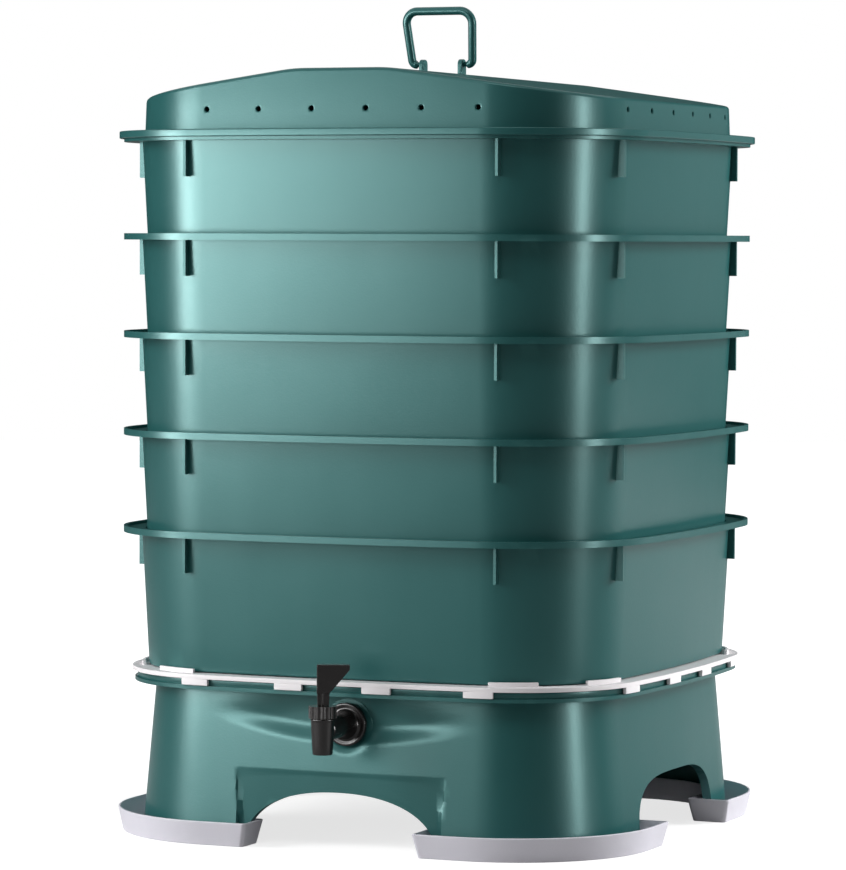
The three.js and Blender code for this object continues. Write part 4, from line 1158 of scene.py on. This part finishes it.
def make_guard():
    """The plate with its turned-down rim, its feet and its keepers."""
    bm = bmesh.new()
    square = perforated_sheet(bm, 13, 64 / 3 * MM, 5 * MM, 0.0)
    ring = draw_outline(bm, GUARD_HALF, 0.0)
    bmesh.ops.bridge_loops(bm, edges=square + ring)
    run_wall(bm, ring, [(GUARD_HALF, GUARD_EDGE_BOTTOM - GUARD_TOP)])
    thicken(bm, WALL, (0.0, 0.0, -30 * MM))
    shift(bm, bm.verts, z=GUARD_TOP)
    foot_half = GUARD_HALF - 0.1 * MM
    for place in FOOT_PLACES:
        add_arc_tab(bm, place, 10.5 * MM, foot_half, 2.8 * MM, GUARD_FOOT_BOTTOM, GUARD_EDGE_BOTTOM + MM)
    for place in KEEPER_PLACES:
        add_arc_tab(bm, place, 16 * MM, KEEPER_HALF, 2.4 * MM, GUARD_TOP - MM, KEEPER_TOP)
    soften(bm, 0.6 * MM)
    return bm


finish_piece(make_guard(), "perforated_guard", "drip_guard", "guard", "white_plastic")

# %% [markdown]
# ## The ant trays
#
# Each foot of the stand is in a small gutter of water, which ants can't cross. The gutter is an L with a round
# corner. Its section, a wall, a floor and a wall, is extruded along one arm, spun round the corner and extruded
# along the other arm, and its two ends are closed.

# %% The gutters
ANT_HEIGHT = 16.5 * MM
ANT_WALL = 1.8 * MM
ANT_FLARE = 3.5 * MM
ANT_OUTER = 196.2 * MM
ANT_INNER = 171.2 * MM
ANT_END = 65.5 * MM


def make_ant_tray(quarter):
    """The gutter at the front right, turned by quarters of a turn."""
    bm = bmesh.new()
    section = (
        (ANT_END - ANT_FLARE, -ANT_OUTER - ANT_FLARE, ANT_HEIGHT),
        (ANT_END, -ANT_OUTER, 0.0),
        (ANT_END, -ANT_INNER, 0.0),
        (ANT_END - ANT_FLARE, -ANT_INNER + ANT_FLARE, ANT_HEIGHT),
    )
    first = [new_point(bm, *corner) for corner in section]
    points, line = extrude_line(bm, [bm.edges.new(pair) for pair in zip(first, first[1:])])
    for vert in points:
        vert.co.x = CORNER
    line = bend_on(bm, line, Vector((CORNER, -CORNER, 0.0)), AXIS, QUARTER, 16)
    last, line = extrude_line(bm, line)
    for vert in last:
        vert.co.y = -ANT_END + (ANT_FLARE if vert.co.z > MM else 0.0)
    bmesh.ops.remove_doubles(bm, verts=bm.verts, dist=SAME_PLACE)
    for ends in (first, last):
        bmesh.ops.contextual_create(bm, geom=[vert for vert in ends if vert.is_valid])
    uprights = [
        edge for edge in bm.edges
        if len(edge.link_faces) == 2 and abs(edge.verts[0].co.z - edge.verts[1].co.z) > MM
        and edge.calc_face_angle(0.0) > math.radians(60)
    ]
    soften(bm, 3.0 * MM, 5, uprights)
    thicken(bm, ANT_WALL, (110 * MM, -(ANT_OUTER + ANT_INNER) / 2, 5 * MM))
    soften(bm, 0.5 * MM)
    turn(bm, bm.verts, quarter * QUARTER)
    return bm


ANT_PLACES = (("front_right", "fr"), ("rear_right", "rr"), ("rear_left", "rl"), ("front_left", "fl"))
for quarter, (place, short) in enumerate(ANT_PLACES):
    name = f"ant_gutter_{place}"
    finish_piece(make_ant_tray(quarter), name, f"ant_tray_{place}", f"ant_tray_{short}", "pale_grey_plastic")

# %% [markdown]
# ## The tap
#
# A black tap with a thumb lever. The body is one moulding: an upright barrel with a nozzle, an arm, a flange and
# a threaded shank that goes through the wall. A collar screws on top and holds the stem. Nearly all of it is
# turned, so nearly all of it is a line of points spun round an axis.

# %% The body of the tap
TAP_AXIS = 218.4 * MM  # of the barrel, in front of the stack's middle plane
HEAD_TURN = math.radians(23)


def to_barrel(bm, turned=True):
    """Moves a piece from the origin to the barrel's axis, turned the way the lever points."""
    if turned:
        turn(bm, bm.verts, HEAD_TURN)
    shift(bm, bm.verts, TAP_SIDE, -TAP_AXIS)


def in_mm(profile):
    """A profile that is written in millimetres."""
    return [(radius * MM, height * MM) for radius, height in profile]


def threaded(radius, depth, low, high, pitch):
    """A zigzag of crests and roots, which spins into the ridges of a thread."""
    count = int((high - low) / pitch)
    return [(radius - depth * (step % 2), low + (high - low) * step / (2 * count)) for step in range(2 * count + 1)]


def make_tap_body():
    """Barrel, arm, flange and shank."""
    bm = bmesh.new()
    spin_profile(bm, in_mm([
        (5.4, 70.2), (6.4, 70.2), (6.9, 70.7), (7.3, 76.0), (8.2, 92.6), (8.2, 93.4), (8.6, 93.8), (8.6, 94.9),
        (7.6, 94.9), (7.6, 99.9), (6.2, 99.9), (6.2, 79.5), (3.8, 79.5), (3.8, 77.5), (5.4, 77.5),
    ]))
    to_barrel(bm, turned=False)
    outside = spin_profile(bm, in_mm([
        (0.0, 2.6), (14.6, 2.6), (15.0, 3.0), (15.0, 5.5), (14.4, 6.1), (12.9, 6.1), (12.3, 5.4),
        (10.6, 5.4), (9.4, 6.9), (8.3, 10.5), (7.8, 15.5), (7.8, 39.5), (0.0, 39.5),
    ]))
    face_front(bm, outside)
    shank = spin_profile(bm, in_mm([
        (4.5, 4.5), (4.5, -24.0), (7.2, -24.0), *threaded(8.0, 0.6, -23.2, -1.5, 1.7), (7.9, 4.5),
    ]), steps=32)
    face_front(bm, shank)
    return bm


finish_piece(make_tap_body(), "tap_barrel", "tap_body", "stand", "black_plastic")


# %% What holds the tap to the wall
def plate_on_shank(radius, near, thickness, steps=48, turned=0.0):
    """A ring round the shank, in millimetres in front of the seat, with a small round on its outer edges."""
    bm = bmesh.new()
    inner, soft = 8.3, 0.3
    ring = spin_profile(bm, in_mm([
        (inner, near), (radius - soft, near), (radius, near + soft), (radius, near + thickness - soft),
        (radius - soft, near + thickness), (inner, near + thickness),
    ]), steps=steps)
    turn(bm, bm.verts, turned)
    face_front(bm, ring)
    return bm


finish_piece(plate_on_shank(14.0, 0.3, 2.0), "outer_washer", "tap_outer_washer", "stand", "rubber")
finish_piece(plate_on_shank(14.0, -5.9, 2.0), "inner_washer", "tap_inner_washer", "stand", "rubber")
nut_mesh = plate_on_shank(15.0, -13.2, 7.0, steps=6, turned=QUARTER / 3)
finish_piece(nut_mesh, "lock_nut", "tap_lock_nut", "stand", "black_plastic")

# %% [markdown]
# ## Collar, lever and what they hide
#
# The collar has fourteen flutes for the fingers. It starts as a disc with four points for each flute, so that two
# of the four can be pushed in before the disc is extruded. The lever is a wedge on a narrower neck. The stem, its
# plug, the spring and the pin are out of sight, but they move, so they are made as well.

# %% The collar
COLLAR_BOTTOM = 95.2 * MM
COLLAR_TOP = 103.5 * MM
COLLAR_RADIUS = 9.7 * MM
FLUTES = 14
FLUTE_DEPTH = 0.7 * MM


def make_collar():
    """A ring with flutes down its side and a hole for the stem."""
    bm = bmesh.new()
    bmesh.ops.create_circle(bm, cap_ends=True, segments=4 * FLUTES, radius=COLLAR_RADIUS)
    for step, vert in enumerate(bm.verts):
        if step % 4 > 1:
            vert.co.xy = vert.co.xy * (1 - FLUTE_DEPTH / COLLAR_RADIUS)
    raised = points_in(bmesh.ops.extrude_face_region(bm, geom=bm.faces[:])["geom"])
    shift(bm, raised, z=COLLAR_TOP - COLLAR_BOTTOM)
    bmesh.ops.recalc_face_normals(bm, faces=bm.faces)
    top = max(bm.faces, key=lambda face: face.calc_center_median().z)
    bottom = min(bm.faces, key=lambda face: face.calc_center_median().z)
    for face, hole, sink in ((top, 2.7 * MM, -3.0 * MM), (bottom, 7.9 * MM, 5.3 * MM)):
        bmesh.ops.inset_region(bm, faces=[face], thickness=1.6 * MM, depth=0.0)
        for vert in face.verts:
            vert.co.xy = vert.co.xy.normalized() * hole
        sunk = bmesh.ops.extrude_discrete_faces(bm, faces=[face])["faces"]
        shift(bm, verts_of(sunk), z=sink)
    soften(bm, 0.25 * MM)
    shift(bm, bm.verts, z=COLLAR_BOTTOM)
    to_barrel(bm)
    return bm


finish_piece(make_collar(), "fluted_collar", "tap_bonnet", "tap_head", "black_plastic")


# %% The lever
def add_slab(bm, outline, half):
    """An outline in X and Z, in millimetres, extruded across Y."""
    corners = [new_point(bm, x * MM, -half * MM, z * MM) for x, z in outline]
    face = bm.faces.new(corners)
    points = points_in(bmesh.ops.extrude_face_region(bm, geom=[face])["geom"])
    shift(bm, points, y=2 * half * MM)
    made = list({f for vert in corners + points for f in vert.link_faces})
    bmesh.ops.recalc_face_normals(bm, faces=made)


def make_lever():
    """The paddle, and a narrower neck below it with a ridge down its middle."""
    bm = bmesh.new()
    add_slab(bm, [(-4.0, 112.2), (4.6, 112.2), (18.5, 128.4), (18.5, 131.9), (-4.0, 131.9)], 4.5)
    add_slab(bm, [(-3.5, 103.8), (4.4, 103.8), (4.8, 113.8), (-3.8, 113.8)], 3.9)
    add_slab(bm, [(-0.5, 104.4), (0.9, 104.4), (0.9, 113.0), (-0.5, 113.0)], 4.25)
    soften(bm, 0.45 * MM, 3)
    to_barrel(bm)
    return bm


finish_piece(make_lever(), "thumb_lever", "tap_lever", "tap_handle", "black_plastic")


# %% Stem, plug and pin
PIN_HEIGHT = 107.7 * MM


def turned_piece(profile, steps=32):
    """A small piece turned about the barrel's axis."""
    bm = bmesh.new()
    spin_profile(bm, in_mm(profile), steps)
    to_barrel(bm)
    return bm


stem = [(0.0, 82.0), (2.1, 82.0), (2.4, 82.3), (2.4, 100.5), (1.15, 100.9), (1.15, 109.6), (0.8, 110.0), (0.0, 110.0)]
finish_piece(turned_piece(stem), "lift_stem", "tap_stem", "tap_valve", "black_plastic")
plug = [(0.0, 79.8), (4.6, 79.8), (5.5, 80.9), (5.5, 84.5), (5.2, 84.8), (0.0, 84.8)]
finish_piece(turned_piece(plug), "valve_plug", "tap_seat_plug", "tap_valve", "silicone")

pin_mesh = bmesh.new()
pin = spin_profile(pin_mesh, in_mm([(0.0, -3.8), (1.0, -3.8), (1.2, -3.6), (1.2, 3.6), (1.0, 3.8), (0.0, 3.8)]), 24)
face_front(pin_mesh, pin, height=PIN_HEIGHT, aside=0.0, depth=0.0)
to_barrel(pin_mesh)
finish_piece(pin_mesh, "hinge_pin", "tap_lever_pin", "tap_valve", "steel")

# %% The return spring
WIRE = 0.5 * MM  # half of its thickness
SPRING_RADIUS = 4.2 * MM
SPRING_BOTTOM = 85.1 * MM
SPRING_TOP = 100.2 * MM


def make_spring():
    """A small circle that climbs as it is spun six times round."""
    bm = bmesh.new()
    turns, steps = 6, 144
    low, high = SPRING_BOTTOM + WIRE, SPRING_TOP - WIRE
    bmesh.ops.create_circle(bm, cap_ends=True, segments=8, radius=WIRE)
    turn(bm, bm.verts, QUARTER, "X")
    shift(bm, bm.verts, SPRING_RADIUS, 0.0, low)
    geom = bm.verts[:] + bm.edges[:] + bm.faces[:]
    sweep(bm, geom, (0, 0, 0), AXIS, turns * 4 * QUARTER, steps, rise=(high - low) / steps)
    bmesh.ops.recalc_face_normals(bm, faces=bm.faces)
    to_barrel(bm)
    return bm


spring = finish_piece(make_spring(), "return_spring", "tap_spring", "tap_valve", "steel", weighted=False)
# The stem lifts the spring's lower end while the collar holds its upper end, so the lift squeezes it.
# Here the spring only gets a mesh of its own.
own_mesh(spring)
